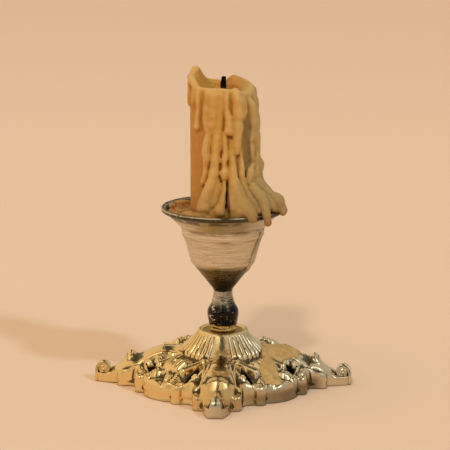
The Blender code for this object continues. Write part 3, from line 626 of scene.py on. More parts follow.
def right_drips(bm):
    """The knotted group at the right, which leans out to the lip and hangs over it."""
    drip(bm, (-37, 99.8, 1.3, 10.1), (-32, 98.0, 1.5, 10.9), (-30, 96.8, 1.6, 11.4), (-30, 95.0, 1.5, 11.5),
         (-27, 93.3, 1.8, 11.3), (-25, 90.7, 2.1, 11.2), (-22, 88.1, 2.3, 11.2), (-19, 85.4, 2.3, 11.2),
         (-17, 82.8, 2.1, 11.3), (-16, 80.2, 1.9, 11.4), (-17, 78.0, 1.8, 11.5), (-18, 75.9, 1.65, 11.8),
         (-20, 74.1, 1.4, 12.0), (-22, 72.4, 1.0, 12.0))
    drip(bm, (-31, 88.0, 0.8, 11.2), (-33, 85.4, 1.0, 11.5), (-32, 82.9, 1.2, 11.6), (-30, 80.2, 1.0, 11.6),
         (-28, 78.6, 1.2, 11.5))
    drip(bm, (-8, 101.0, 1.3, 9.8), (-6, 98.2, 1.3, 10.1), (-5, 95.6, 1.3, 10.4), (-4, 93.2, 1.5, 11.1),
         (-4, 91.3, 1.6, 11.2), (-5, 88.0, 1.5, 11.0), (-6, 84.0, 1.45, 11.0), (-6, 80.0, 1.45, 11.1),
         (-4, 78.0, 1.45, 11.7), (-4, 76.3, 1.75, 12.6), (-5, 75.0, 1.3, 12.8))
    drip(bm, (-16, 100.0, 1.7, 9.7), (-16, 97.0, 1.5, 10.0), (-15, 92.0, 1.7, 10.4), (-13, 86.0, 1.7, 10.7),
         (-12, 80.0, 1.6, 10.9), (-11, 76.0, 1.5, 11.0), (-8, 73.0, 1.8, 11.2), (-9, 71.0, 2.0, 11.6),
         (-12, 69.4, 2.2, 12.6))
    drip(bm, (-28, 77.2, 0.9, 11.7), (-32, 76.4, 1.1, 11.8), (-37, 75.2, 1.45, 12.0),
         (-40, 73.4, 1.4, 12.2), (-42, 71.6, 1.1, 12.2))
    drip(bm, (-34, 75.0, 1.2, 11.9), (-32, 73.2, 1.3, 12.0), (-34, 71.4, 1.2, 12.2), (-37, 70.2, 1.0, 12.4))
    drip(bm, (-28, 72.0, 1.4, 11.3), (-30, 70.4, 1.8, 11.8), (-36, 69.6, 2.1, 12.4), (-38, 68.8, 2.3, 13.0),
         (-36, 67.8, 2.3, 14.2), (-36, 66.7, 2.2, 15.8), (-38, 65.5, 2.0, 17.6), (-41, 64.1, 2.0, 19.4),
         (-44, 62.9, 1.6, 21.0), (-46, 61.6, 1.5, 22.2), (-46, 60.2, 1.2, 22.7), (-45, 59.2, 1.35, 22.5))
    drip(bm, (-48, 68.0, 1.5, 12.8), (-49, 65.8, 1.9, 14.2), (-48, 64.2, 2.0, 16.0), (-50, 63.2, 1.7, 17.6))
    drip(bm, (-22, 71.0, 1.9, 12.0), (-20, 69.2, 2.1, 12.8), (-14, 68.0, 2.0, 13.8), (-16, 66.9, 1.9, 15.6),
         (-19, 65.9, 1.7, 17.4), (-19, 65.5, 2.2, 19.0), (-20, 65.0, 2.3, 20.2), (-22, 63.6, 1.7, 20.8))
    drip(bm, (-27, 67.0, 1.7, 15.0), (-27, 65.4, 1.8, 17.0), (-30, 64.0, 1.9, 19.0), (-32, 63.1, 1.4, 20.6))
    drip(bm, (-14, 64.8, 1.6, 18.6), (-18, 63.4, 1.9, 20.6), (-21, 61.9, 1.7, 21.9), (-25, 61.4, 1.2, 22.6))
    drip(bm, (-4, 69.4, 1.7, 13.0), (-4, 67.0, 1.9, 15.0), (-9, 65.2, 2.0, 17.2), (-13, 64.2, 1.7, 18.8))


def back_drips(bm):
    """Behind, plainer runs of every length over the bare column, down to the pan."""
    drip(bm, (12, 101.2, 1.3, 10.2), (10, 97, 1.3, 10.8), (12, 90, 1.1, 11.0), (9, 84, 1.4, 11.1),
         (11, 78, 1.2, 11.3), (7, 72, 1.6, 12.0), (9, 67, 1.9, 13.4), (6, 63.5, 2.2, 16))
    drip(bm, (24, 101.2, 1.4, 10.2), (27, 95, 1.2, 10.9), (25, 88, 1.3, 11.1), (28, 84.5, 1.4, 11.2),
         (27, 82.5, 0.9, 11.2))
    drip(bm, (40, 102.0, 1.5, 10.0), (42, 98, 1.4, 10.8), (39, 90, 1.2, 11.0), (41, 82, 1.3, 11.2),
         (38, 74, 1.2, 11.4), (42, 68, 1.5, 12.4), (40, 63, 2.0, 14.6))
    drip(bm, (62, 102.6, 1.6, 10.0), (60, 97, 1.4, 10.8), (63, 90, 1.2, 11.0), (61, 83, 1.5, 11.3),
         (62, 78, 1.2, 11.2), (59, 72, 1.3, 11.4), (60, 69, 1.5, 11.6), (60, 67, 1.1, 11.5))
    drip(bm, (77, 101.8, 1.3, 10.2), (78, 99, 1.0, 10.9), (76, 95, 1.2, 11.2), (77, 93.3, 0.9, 11.1))
    drip(bm, (96, 101.4, 1.3, 10.2), (95, 94, 1.1, 11.0), (97, 86, 1.2, 11.2), (95, 79, 1.1, 11.3),
         (97, 73, 1.5, 11.5), (96, 71, 1.1, 11.4))
    drip(bm, (116, 101.6, 1.4, 10.2), (114, 96, 1.2, 11.0), (116, 90, 1.0, 11.1), (115, 87.5, 1.3, 11.2),
         (116, 85.6, 0.8, 11.1))
    drip(bm, (150, 103.5, 1.4, 10.2), (148, 99, 1.1, 11.0), (150, 93, 0.9, 11.1), (149, 90.6, 1.15, 11.2))


def wax_in_pan(bm):
    """Wax run together round the column's foot: heaped at the front right, a thin sheet at the left."""
    lump(bm, Vector((0, 0, 59.9)), (18.9, 18.9, 0.95), fineness=6)
    for degrees, radius, height, width, tall in (
            (-150, 13.6, 59.8, 3.8, 2.0), (-112, 15.6, 60.2, 3.8, 2.2),
            (-96, 14.4, 61.4, 3.0, 2.8), (-82, 13.4, 61.0, 3.0, 2.6), (-66, 15.0, 61.6, 4.0, 3.2),
            (-45, 15.2, 62.2, 4.4, 3.8), (-24, 15.4, 62.6, 4.6, 4.0), (-4, 15.2, 61.8, 4.2, 3.2),
            (18, 14.8, 60.8, 4.0, 2.6), (44, 14.4, 60.4, 3.8, 2.4), (72, 14.0, 60.2, 3.6, 2.0)):
        lump(bm, polar(radius, degrees, height), (width, width, tall), fineness=3)
    for degrees, radius, height, radii in (
            (-150, 17.0, 60.7, (2.4, 1.5, 0.9)), (172, 17.7, 61.0, (1.3, 3.4, 0.8)),
            (150, 16.4, 61.0, (3.2, 1.6, 1.0)), (-128, 16.4, 60.8, (3.4, 2.0, 1.5)),
            (118, 16.8, 60.4, (1.8, 2.4, 0.8)), (-168, 15.0, 60.8, (1.6, 2.2, 1.0)),
            (-33, 17.6, 63.4, (3.0, 2.6, 2.2)), (-47, 17.8, 62.6, (2.2, 2.2, 1.7)),
            (-14, 17.6, 63.6, (2.6, 3.0, 2.2)), (-26, 19.6, 62.4, (1.9, 1.9, 1.4))):
        lump(bm, polar(radius, degrees, height), radii, fineness=3)


def candle():
    bm = wax_column()
    rim_lobes(bm)
    left_drips(bm)
    front_drips(bm)
    right_drips(bm)
    back_drips(bm)
    wax_in_pan(bm)
    obj = object_of("melted_wax", bm, WAX)
    melt(obj, voxel=0.29, rounds=4)
    swell_drips(obj.data, height=0.20)
    store_hollows(obj.data, reach=0.6, rounds=24)
    store_hollows(obj.data, reach=1.2, rounds=150, name="recess")
    return obj


def melt(obj, voxel, rounds):
    """Joins overlapping lumps of wax into one smooth skin."""
    remesh = obj.modifiers.new("melt together", "REMESH")
    remesh.mode = "VOXEL"
    remesh.voxel_size = voxel * MM
    remesh.use_smooth_shade = True
    soften(obj, 0.5, rounds)
    apply_modifiers(obj)


def swell_drips(mesh, height):
    """Swells and thins the runs a little, and the bare column and the puddle hardly."""
    points = points_of(mesh)
    coarse, fine = 260, 620
    swell = np.array([noise.noise(Vector(point) * coarse) + 0.5 * noise.noise(Vector(point) * fine)
                      for point in points])
    from_axis = np.hypot(points[:, 0], points[:, 1]) / MM
    share = np.clip((from_axis - COLUMN_RADIUS) / 0.8, 0.15, 1)
    share = share * np.clip((points[:, 2] / MM - PAN_LEVEL) / 2, 0, 1)
    set_points(mesh, points + normals_of(mesh) * (swell * share * height * MM)[:, None])


def wick():
    """The charred wick: ragged strands, a little wider below, leaning right at its top."""
    rows = [(0, SOCKET_FLOOR)] + [(WICK_RADIUS, height) for height in (SOCKET_FLOOR, 60, 80, 98)]
    rows += [(WICK_RADIUS * 1.02, 100 + i * 0.22) for i in range(26)]
    rows += [(WICK_RADIUS * 0.8, WICK_TOP - 0.12), (WICK_RADIUS * 0.4, WICK_TOP - 0.02), (0, WICK_TOP - 0.05)]
    bm = turned(rows, 28)
    strands, strand_depth, narrowing, lean = 5, 0.10, 0.20, 0.07
    for vert in bm.verts:
        above = max(0, vert.co.z - CRATER_FLOOR)
        if above == 0:
            continue
        turn = math.atan2(vert.co.y, vert.co.x)
        strand = strand_depth * math.cos(strands * turn + above * 1.1) + 0.16 * noise.noise(vert.co * 1.9)
        vert.co.xy *= (1 + strand) * (1 - narrowing * ease(above, 3.0, 0.6))
        vert.co.x += lean * above
        vert.co.z += 0.12 * noise.noise(Vector((vert.co.x * 3, vert.co.y * 3, 0))) * min(1, above / 4)
    return object_of("burnt_wick", bm, CHAR)


def wax_run():
    """A thin run of wax down the outside of the cup, below the finger that hangs over the lip."""
    foot, foot_degrees, slant = 39.6, -31, 0.6
    sizes = [(53.4, 0.55), (51.6, 0.72), (49.0, 0.7), (46.5, 0.66), (43.2, 0.72), (41.4, 0.8), (40.2, 0.62)]
    by_height = [(height, radius) for radius, height in CUP_OUTSIDE]
    stations = [(foot_degrees + slant * (height - foot), height, width,
                 float(value_at(height, by_height)) + 0.1) for height, width in sizes]
    bm = bmesh.new()
    drip(bm, *stations)
    obj = object_of("run_down_cup", bm, WAX)
    melt(obj, voxel=0.16, rounds=4)
    store_hollows(obj.data, reach=0.6, rounds=10)
    store_zeros(obj.data, "recess")
    return obj


# ---------------------------------------------------------------- cup and stem


def cup():
    """Drip pan, bell and candle socket, turned in one piece, its lip a little uneven."""
    foot = STEM_TOP + JOINT_GAP
    outline = [(0, CUP_BORE_END), (BORE_RADIUS, CUP_BORE_END), (BORE_RADIUS, foot), (3.2, foot),
               *rounded(CUP_OUTSIDE, 0.45), *rounded(CUP_LIP, 0.2), *rounded(CUP_INSIDE, 0.8), (0, CUP_FLOOR)]
    bm = turned(outline, 168)
    for vert in bm.verts:
        if vert.co.z > CUP_LIP_START:
            vert.co.z += 0.06 * noise.noise(vert.co * 0.35) + 0.03 * noise.noise(vert.co * 1.1)
    return object_of("turned_cup", bm, CUP)


def stem():
    outline = [(BORE_RADIUS, STEM_TOP), (BORE_RADIUS, STEM_FOOT), *rounded(STEM_OUTSIDE, 0.2)]
    return object_of("turned_stem", turned(outline, 128), STEM)


# ---------------------------------------------------------------- base casting
#
# The top of the casting is a height over the plan. Each corner and its mirror image are alike, so a
# point is folded to s, its distance along the nearest corner's axis, and t, its distance across it.
# A profile lists (place, height) or (place, half width), in millimetres.

DOME_RADIUS = 14.0
DOME_SHOULDER = 8.4
SEAT_RADIUS = 7.2
WALL = 1.9
REED_START = 8.7
REED_PITCH = 8.5
REED_HALF_SECTOR = 30.5
REED_DEPTH = 0.95
STEEP = 4.5
CASTING_COLUMNS = 800

# Ground outline from a corner (0) to the middle of a side (45): degrees, radius.
OUTLINE = [(0, 43.9), (2.4, 43.9), (3.5, 43.5), (4.3, 42.6), (5.2, 41.2), (6.1, 39.8), (7.0, 37.9),
           (7.5, 36.5), (8.4, 36.5), (10.4, 36.8), (12.4, 36.4), (13.6, 35.3), (14.2, 33.0), (15.2, 31.5),
           (18, 30.9), (21, 30.9), (22.8, 31.1), (23.6, 31.9), (25.0, 32.5), (27.0, 32.7), (29.2, 32.4),
           (30.2, 31.8), (30.8, 30.8), (31.6, 30.8), (34, 31.5), (37, 32.0), (41, 32.3), (45, 32.4)]
DOME = [(0, 18.2), (SEAT_RADIUS, 18.2), (SEAT_RADIUS + 0.35, 18.7), (SEAT_RADIUS + 0.8, 18.75),
        (DOME_SHOULDER, 18.55), (8.8, 17.9), (9.8, 16.6), (11.5, 14.5), (13, 12.9), (DOME_RADIUS, 11.8),
        (15.5, 3.0)]
STRAP_HALF = [(12, 7.2), (14, 5.9), (17, 5.2), (22.8, 5.2), (27, 5.7), (29.5, 5.9), (33, 5.4)]
STRAP_BORDER = [(13, 5.2), (15, 4.2), (18, 3.3), (21, 3.1), (24, 3.6), (26, 4.5), (28, 5.4), (31, 5.8)]
STRAP_TOP = [(12, 12.4), (14, 11.9), (16, 11.85), (17.5, 12.0), (19.5, 12.15), (21, 12.1), (23, 11.7),
             (25.7, 10.7), (27.8, 9.5), (29.5, 8.6), (31, 8.2), (33.2, 7.5), (34.4, 6.7), (36.1, 5.5),
             (38.6, 3.7), (39.6, 3.2), (41, 2.6), (42.4, 1.6), (44.4, 1.0)]
BORDER_END = 30.5
HOOD_TOP = [(28.6, 7.4), (29.2, 8.3), (30.0, 9.5), (31.0, 10.3), (31.8, 10.5), (32.5, 10.2), (33.1, 9.4),
            (33.8, 8.1), (34.6, 6.6), (36.0, 3.0)]
HOOD_HALF = [(29, 2.8), (31, 3.3), (33.6, 3.6)]
HOOD_SPAN = (28, 37.5)
# Across the side, from the dome outwards: the ground of the leaf work, and the leaf on it.
SIDE_GROUND = [(10, 10.8), (14.5, 9.4), (17, 8.4), (21, 7.4), (24, 6.2), (27, 4.2), (29, 2.8), (31, 2.2)]
LEAF_TOP = [(13, 7.5), (15, 9.9), (17, 10.7), (19, 10.7), (22.6, 9.0), (23.8, 8.2), (25.5, 6.4)]
LEAF_HALF = 3.9
FEATHER_PITCH = 1.6
# The box in front of the leaf: its middle, half its width, its top.
BOX_MIDDLE, BOX_HALF, BOX_TOP = 27.0, 1.2, 6.3
# Round mounds beside the strap: s, t, top, how fast they fall.
MOUNDS = [(28.2, 8.6, 7.5, 0.13), (33.2, 6.6, 5.5, 0.16)]
# Along the side, from its middle to a corner: the top of the outer wall.
WALL_TOP = [(0, 3.0), (4, 3.4), (7, 4.7), (8.4, 4.9), (9.4, 5.5), (11.4, 5.5), (12.4, 5.0), (13.4, 5.4),
            (15.4, 5.5), (17.0, 5.1), (18.6, 4.5), (20.2, 4.1), (21.2, 3.4), (22.4, 2.7), (24, 2.4),
            (28, 1.2)]
# Round knobs: s, t, radius, height of the knob's foot.
KNOBS = [(25.0, 7.8, 1.5, 8.0), (24.9, 15.6, 1.2, 5.3), (26.6, 14.2, 1.4, 5.0), (17.4, 5.3, 0.7, 10.4),
         (21.9, 5.2, 0.7, 10.0), (22.3, 14.1, 0.8, 7.7), (27.2, 11.8, 1.0, 6.0)]
KNOB_FALL = 1.2
# Curls and knobs rise no more than this over the work round them.
TALLEST = 2.0
# The bar beside a slot, and the notched scroll outside it, as lines through (s, t).
BAR = [(14.3, 6.0), (20.9, 12.4)]
NOTCHED_SCROLL = [(20.4, 13.6), (25.2, 16.2)]
TIP_START = 38.5
UNDER_DOME = [(0, 16.4), (8, 16.4), (9.2, 14.8), (11, 12.4), (12.8, 9.8), (13.4, 3.5)]
UNDER_STRAP = [(12, 8.6), (22.8, 7.6), (30, 6.4), (35, 4.2), (38, 2.4)]
SLOT_SIZE = (9.0, 2.8)
SLOT_SPREAD = [(-4.5, 0.85), (4.5, 1.1)]
SLOT_PLACE = Matrix.Translation((21.1, 8.3, 5)) @ Matrix.Rotation(math.radians(28), 4, "Z")
SLOT_SHADE_TOP = 8.6


def curls():
    """Curls and ridges of the leaf work: width, height at the start and at the end, points of (s, t)."""
    yield 0.6, 7.2, 6.2, arc((28.4, 8.6), 2.7, 250, 430)
    yield 0.5, 6.9, 6.3, arc((25.6, 13.0), 1.1, -60, 220)
    yield 0.75, 12.2, 13.0, arc((17.4, 14.4), 1.9, 190, 350)
    yield 0.65, 12.6, 11.6, arc((17.8, 14.8), 0.9, 60, 330)
    yield 0.55, 10.4, 9.0, arc((21.4, 15.4), 1.4, 40, 240)
    yield 0.6, 6.8, 6.2, arc((25.6, 18.4), 1.5, 190, 350)


def arc(centre, radius, start, end):
    """Points on an arc about a centre, between two directions in degrees, 20 degrees apart."""
    count = max(2, round(abs(end - start) / 20))
    turns = [math.radians(start + (end - start) * i / count) for i in range(count + 1)]
    return [(centre[0] + radius * math.cos(turn), centre[1] + radius * math.sin(turn)) for turn in turns]


def fold(x, y):
    x, y = np.abs(x), np.abs(y)
    return np.maximum(x, y), np.minimum(x, y)


def past(distance, edge):
    """How far a distance goes past an edge, or 0 before it."""
    return np.maximum(distance - edge, 0)


def bead(distance, width, fall=2.2):
    """The height of a round bead over its own axis, falling away past its edge."""
    part = distance / width
    return width * (np.sqrt(np.maximum(1 - part**2, 0)) - fall * past(part, 1))


def path(s, t, points):
    """Distance to a line through points of (s, t), and how far along it the nearest place is, 0 to 1."""
    best = np.full(np.shape(s), 1e9)
    share = np.zeros(np.shape(s))
    lengths = [math.dist(a, b) for a, b in zip(points, points[1:])]
    done = 0.0
    for (s0, t0), (s1, t1), length in zip(points, points[1:], lengths):
        along = np.clip(((s - s0) * (s1 - s0) + (t - t0) * (t1 - t0)) / length**2, 0, 1)
        distance = np.hypot(s - s0 - along * (s1 - s0), t - t0 - along * (t1 - t0))
        share = np.where(distance < best, (done + along * length) / sum(lengths), share)
        best = np.minimum(distance, best)
        done += length
    return best, share


def blend(first, second, width):
    """The greater of two heights, eased over width where they meet."""
    return 0.5 * (first + second + np.sqrt((first - second) ** 2 + width**2))


def dome_height(r, degrees):
    """The dome with its dished seat, and reeds round it but for a plain panel towards each corner."""
    from_middle = 45 - degrees
    reeds = np.abs(np.cos(np.pi * (from_middle / REED_PITCH))) - 0.6
    inside = (np.abs(from_middle) < REED_HALF_SECTOR) & (r > REED_START)
    deepening = 0.25 + 0.75 * (r - REED_START) / 5
    return value_at(r, DOME) + np.where(inside, REED_DEPTH * reeds * deepening, 0)


def strap_height(s, t):
    """The strap from the dome to the horn: an arch, rounded across, its border drawn in at the middle."""
    half, edge, top = value_at(s, STRAP_HALF), value_at(s, STRAP_BORDER), value_at(s, STRAP_TOP)
    rounding, step = 0.045, 0.3
    within = np.minimum(t, edge)
    field = top - rounding * within**2 - step * np.clip((t - edge) / 0.6, 0, 1) - STEEP * past(t, half)
    border = top - rounding * edge**2 - step + bead(np.abs(t - edge), 0.5)
    return np.where(s < BORDER_END, np.maximum(field, border), top - 0.03 * t**2 - STEEP * past(t, half))


def hood_height(s, t):
    """The hood that rises at the strap's end, seen from outside as a horn."""
    return value_at(s, HOOD_TOP) - 0.13 * t**2 - 4.0 * past(t, value_at(s, HOOD_HALF))


def side_height(s, t):
    """The skirt wall with its pilasters, and the feathered leaf work between it and the dome."""
    middle, off = (s + t) / math.sqrt(2), (s - t) / math.sqrt(2)
    height = value_at(middle, SIDE_GROUND) + 0.06 * np.minimum(off, 12)
    feathers = (np.abs(np.sin(np.pi * (off + 0.8) / FEATHER_PITCH)) - 0.6) * np.clip(24.2 - middle, 0, 1)
    leaf = value_at(middle, LEAF_TOP) - 0.07 * off**2 + 0.6 * feathers - 2.2 * past(off, LEAF_HALF)
    height = np.maximum(height, leaf)
    box = BOX_TOP - 0.12 * (middle - BOX_MIDDLE) ** 2 - 5 * past(np.abs(middle - BOX_MIDDLE), BOX_HALF)
    height = np.maximum(height, box - 5 * past(off, LEAF_HALF))
    for mound_s, mound_t, top, fall in MOUNDS:
        height = np.maximum(height, top - fall * ((s - mound_s) ** 2 + (t - mound_t) ** 2))
    inward = outline_radius(np.degrees(np.arctan2(t, s))) - np.hypot(s, t)
    height = np.maximum(height, value_at(off, WALL_TOP) + bead(np.abs(inward - 0.8), 0.8))
    limit = height + TALLEST
    for width, first, last, points in curls():
        distance, share = path(s, t, points)
        curl = first + (last - first) * share + bead(distance, width) - width
        height = np.maximum(height, np.minimum(curl, limit))
    for knob_s, knob_t, radius, foot in KNOBS:
        knob = foot + bead(np.hypot(s - knob_s, t - knob_t), radius, KNOB_FALL)
        height = np.maximum(height, np.minimum(knob, limit))
    distance, share = path(s, t, BAR)
    height = np.maximum(height, 11.0 - 0.9 * share - 6 * past(distance, 0.95) - 0.12 * distance**2)
    distance, share = path(s, t, NOTCHED_SCROLL)
    notches = 0.22 * np.cos(share * math.tau * 6)
    height = np.maximum(height, 8.2 - 2.4 * share + notches + bead(distance, 1.5) - 1.0)
    return height - 0.8 * past(s, TIP_START)


def outline_radius(degrees):
    return value_at(degrees, OUTLINE)


def relief_height(x, y):
    s, t = fold(x, y)
    r, degrees = np.hypot(s, t), np.degrees(np.arctan2(t, s))
    strap = strap_height(s, t)
    hooded = (s > HOOD_SPAN[0]) & (s < HOOD_SPAN[1])
    strap = np.where(hooded, blend(strap, hood_height(s, t), 1.2), strap)
    height = np.where(r < DOME_RADIUS, -5, side_height(s, t))
    height = np.maximum(height, dome_height(r, degrees))
    height = blend(height, strap, 1.8 * np.clip((19 - s) / 4, 0, 1))
    inward = past(outline_radius(degrees), r)
    rounded_edge = 2.9 + 4.2 * np.sqrt(inward) + 5 * past(inward, 2)
    return np.minimum(height, rounded_edge)


def underside_height(x, y):
    """The hollow below follows the dome and the straps, a wall's thickness lower."""
    s, t = fold(x, y)
    strap = value_at(s, UNDER_STRAP) - 2.5 * past(t, 3.6)
    hollow = np.maximum(np.maximum(value_at(np.hypot(s, t), UNDER_DOME), strap), 2.2)
    return np.minimum(hollow, relief_height(x, y) - 1.4)


def casting_grid():
    """A grid wrapped round the axis, its rows over the top from the bore to the outline, down the outer
    wall and back below."""
    top_rows, wall_rows, under_rows = 92, 8, 16
    rows = top_rows + wall_rows + under_rows
    bm = bmesh.new()
    bmesh.ops.create_grid(bm, x_segments=CASTING_COLUMNS, y_segments=rows, size=1)
    x, y, _ = np.array([vert.co for vert in bm.verts]).T
    direction = (x + 1) * math.pi
    row = np.round((y + 1) / 2 * rows) % rows
    edge = outline_radius(45 - np.abs(45 - np.degrees(direction) % 90))
    inner, under_edge = BORE_RADIUS + 0.02, edge - WALL
    # Rows lie closer together near the edge, where the wall turns down.
    share = np.clip(row / (top_rows - 1), 0, 1)
    share = share + 0.045 * np.sin(math.pi * share)
    radius = inner + (edge - inner) * np.minimum(share, 1)
    on_wall = (row >= top_rows) & (row < top_rows + wall_rows)
    below = row >= top_rows + wall_rows
    back = np.clip((row - top_rows - wall_rows) / (under_rows - 1), 0, 1)
    radius = np.where(on_wall, edge, np.where(below, under_edge + (inner - under_edge) * back, radius))
    x, y = radius * np.cos(direction), radius * np.sin(direction)
    height = relief_height(x, y)
    down = (row - top_rows + 1) / wall_rows
    waist = np.where(on_wall, 0.35 * np.sin(math.pi * np.clip(down, 0, 1)), 0)
    x, y = x * (1 - waist / np.maximum(radius, 1)), y * (1 - waist / np.maximum(radius, 1))
    wall_height = relief_height(edge * np.cos(direction), edge * np.sin(direction)) * (1 - down)
    height = np.where(on_wall, wall_height, height)
    height = np.where(below, np.where(back == 0, 0, underside_height(x, y)), height)
    for vert, point in zip(bm.verts, zip(x, y, height)):
        vert.co = point
    bmesh.ops.remove_doubles(bm, verts=bm.verts, dist=0.0002)
    bmesh.ops.triangulate(bm, faces=bm.faces)
    return bm


def base():
    """The casting: its slots are cut through, then its hollows marked for grime and painted shade."""
    obj = object_of("cast_base", casting_grid(), PLATE)
    soften(obj, 0.4, 1)
    slots = slot_cutters()
    through = obj.modifiers.new("slots", "BOOLEAN")
    through.operation = "DIFFERENCE"
    through.object = slots
    through.solver = "MANIFOLD"
    apply_modifiers(obj)
    bpy.data.objects.remove(slots)
    store_hollows(obj.data, reach=0.45, rounds=26)
    points = points_of(obj.data) / MM
    hollow = np.zeros(len(points))
    obj.data.attributes["hollow"].data.foreach_get("value", hollow)
    added, kept = painted_foot_shade(points)
    store(obj.data, "hollow", hollow * kept + added)
    store(obj.data, "inside", slot_wall_shade(points))
    return obj


def slot_cutters():
    """The eight slots beside the straps, each widening outwards between a strap and the bar next to it."""
    bm = bmesh.new()
    for corner in range(4):
        for side in (-1, 1):
            slot = bmesh.new()
            bmesh.ops.create_cube(slot, size=1, matrix=Matrix.Diagonal((*SLOT_SIZE, 24, 1)))
            upright = [edge for edge in slot.edges if abs(edge.verts[0].co.z - edge.verts[1].co.z) > 1]
            bmesh.ops.bevel(slot, geom=upright, offset=1.2, offset_type="OFFSET", affect="EDGES", segments=6,
                            profile=0.5, material=-1)
            for vert in slot.verts:
                vert.co.y *= value_at(vert.co.x, SLOT_SPREAD)
            turn = Matrix.Rotation(math.radians(90 * corner), 4, "Z")
            placed = turn @ Matrix.Diagonal((1, side, 1, 1)) @ SLOT_PLACE
            bmesh.ops.transform(slot, matrix=placed, verts=slot.verts)
            join(bm, slot)
    return object_of("slots", bm, PLATE)


def slot_wall_shade(points):
    """1 for points low on the walls of the slots, which are painted black as shade, 0 elsewhere."""
    s, t = fold(*points.T[:2])
    along, across = (np.array(SLOT_PLACE.inverted()) @ [s, t, 5 + 0 * s, 1 + 0 * s])[:2]
    length, width = SLOT_SIZE
    inside = np.abs(along) < length / 2 + 0.03
    inside &= np.abs(across) < width / 2 * value_at(along, SLOT_SPREAD) + 0.03
    return (inside & (points[:, 2] < SLOT_SHADE_TOP)).astype(float)


def painted_foot_shade(points):
    """How dark the feet are painted: a painted dark reflection on the hood's crest and painted shade in the
    grooves beside a scroll, but not the hood's face.
    """
    s, t = fold(*points.T[:2])
    z = points[:, 2]
    face = (t < 5) & (s > 32.6) & (s < 42) | (t < 4.5) & (s < 24)
    crest = (t < 4.0) & (s > 30.4) & (s < 33.0) & (z > 7.4)
    groove = (np.abs(t - value_at(s, [(37.4, 1.2), (42.6, 3.0)])) < 0.5) & (s > 37.4) & (z > 1.0)
    return np.where(crest | groove, 0.5, 0), np.where(face, 0.15, 1)


def volute(corner):
    """The scroll at a tip: a band that stands on the ground and rolls inwards round an eye, narrowing
    upwards."""
    centre, half, outer, thick = Vector((41.35, 0, 4.0)), 2.0, 2.85, 1.0
    steps, step_turn, open_steps = 32, math.radians(-16), 8
    bm = bmesh.new()
    bmesh.ops.create_cube(bm, size=1, matrix=Matrix.Translation((outer - thick / 2, 0, 0.05 - centre.z / 2))
                          @ Matrix.Diagonal((thick, 2 * half, centre.z - 0.1, 1)))
    end = max(bm.faces, key=lambda face: face.normal.z)
    for step in range(steps):
        made = bmesh.ops.extrude_face_region(bm, geom=[end])["geom"]
        if end.is_valid:
            bm.faces.remove(end)
        end = next(item for item in made if isinstance(item, bmesh.types.BMFace))
        close = 0.990 if step < open_steps else 0.955
        bmesh.ops.rotate(bm, verts=end.verts, cent=(0, 0, 0), matrix=Matrix.Rotation(step_turn, 3, "Y"))
        bmesh.ops.scale(bm, verts=end.verts, vec=(close, 0.997, close))
    edges = [edge for edge in bm.edges if len(edge.link_faces) == 2 and edge.calc_face_angle() > 1.0]
    bmesh.ops.bevel(bm, geom=edges, offset=0.14, offset_type="OFFSET", affect="EDGES", segments=2,
                    profile=0.5, material=-1)
    lump(bm, Vector((0, 0, 0)), (2.1, half * 0.85, 2.1), fineness=3)
    lump(bm, Vector((0, 0, 0)), (0.95, half + 0.12, 0.95))
    bmesh.ops.translate(bm, verts=bm.verts, vec=centre)
    for vert in bm.verts:
        vert.co.y *= value_at(vert.co.z, [(0.6, 1.4), (6.6, 0.6)])
    quarter = Matrix.Rotation(math.radians(90 * corner), 3, "Z")
    bmesh.ops.rotate(bm, verts=bm.verts, cent=(0, 0, 0), matrix=quarter)
    obj = object_of(f"tip_scroll_{corner + 1}", bm, PLATE)
    store_zeros(obj.data, "hollow", "inside")
    return obj


# ---------------------------------------------------------------- wax on the base


def spill(name, centre, reach, thickness):
    """Wax set on the casting. reach lists how far it runs from its centre, every 30 degrees."""
    around, rings, settling, sunk = 120, 36, 1.3, 0.6
    bm = turned([(0, 1), *((i / rings, 1) for i in range(1, rings + 1)), (1, -1), (0.5, -1), (0, -1)], around)
    local = np.array([vert.co for vert in bm.verts])
    share = np.hypot(local[:, 0], local[:, 1])
    turn = np.degrees(np.arctan2(local[:, 1], local[:, 0])) % 360
    stops = rounded([(30.0 * i, length) for i, length in enumerate([*reach, reach[0]])], 6)
    ragged = 1 + 0.05 * np.sin(np.radians(7 * turn)) + 0.04 * np.sin(np.radians(11 * turn + 40))
    distance = share * value_at(turn, stops) * ragged
    x = centre[0] + distance * np.cos(np.radians(turn))
    y = centre[1] + distance * np.sin(np.radians(turn))
    around_here = [relief_height(x + settling * math.cos(way), y + settling * math.sin(way))
                   for way in np.arange(0, math.tau, math.pi / 6)]
    level = 0.2 * np.max(around_here, axis=0) + 0.8 * np.mean(around_here, axis=0)
    here = relief_height(x, y)
    swollen = np.sqrt(np.maximum(0, 1 - share**4))
    ripple = np.array([noise.noise(Vector((a * 0.35, b * 0.35, 0))) for a, b in zip(x, y)])
    top = np.maximum(here + 0.12, here + (level - here) * swollen) + (thickness + 0.3 * ripple) * swollen
    height = np.where(local[:, 2] > 0, top, here - sunk)
    for vert, point in zip(bm.verts, zip(x, y, height)):
        vert.co = point
    obj = object_of(name, bm, DULL_WAX)
    soften(obj, 0.5, 3)
    apply_modifiers(obj)
    store_hollows(obj.data, reach=0.6, rounds=16)
    return obj


# ---------------------------------------------------------------- studio

CAMERA_PLACE = Vector((0.0372, -0.6498, 0.1904))
CAMERA_AIM = Vector((0.0007, 0.0, 0.0550))
CAMERA_LENS = 156.4


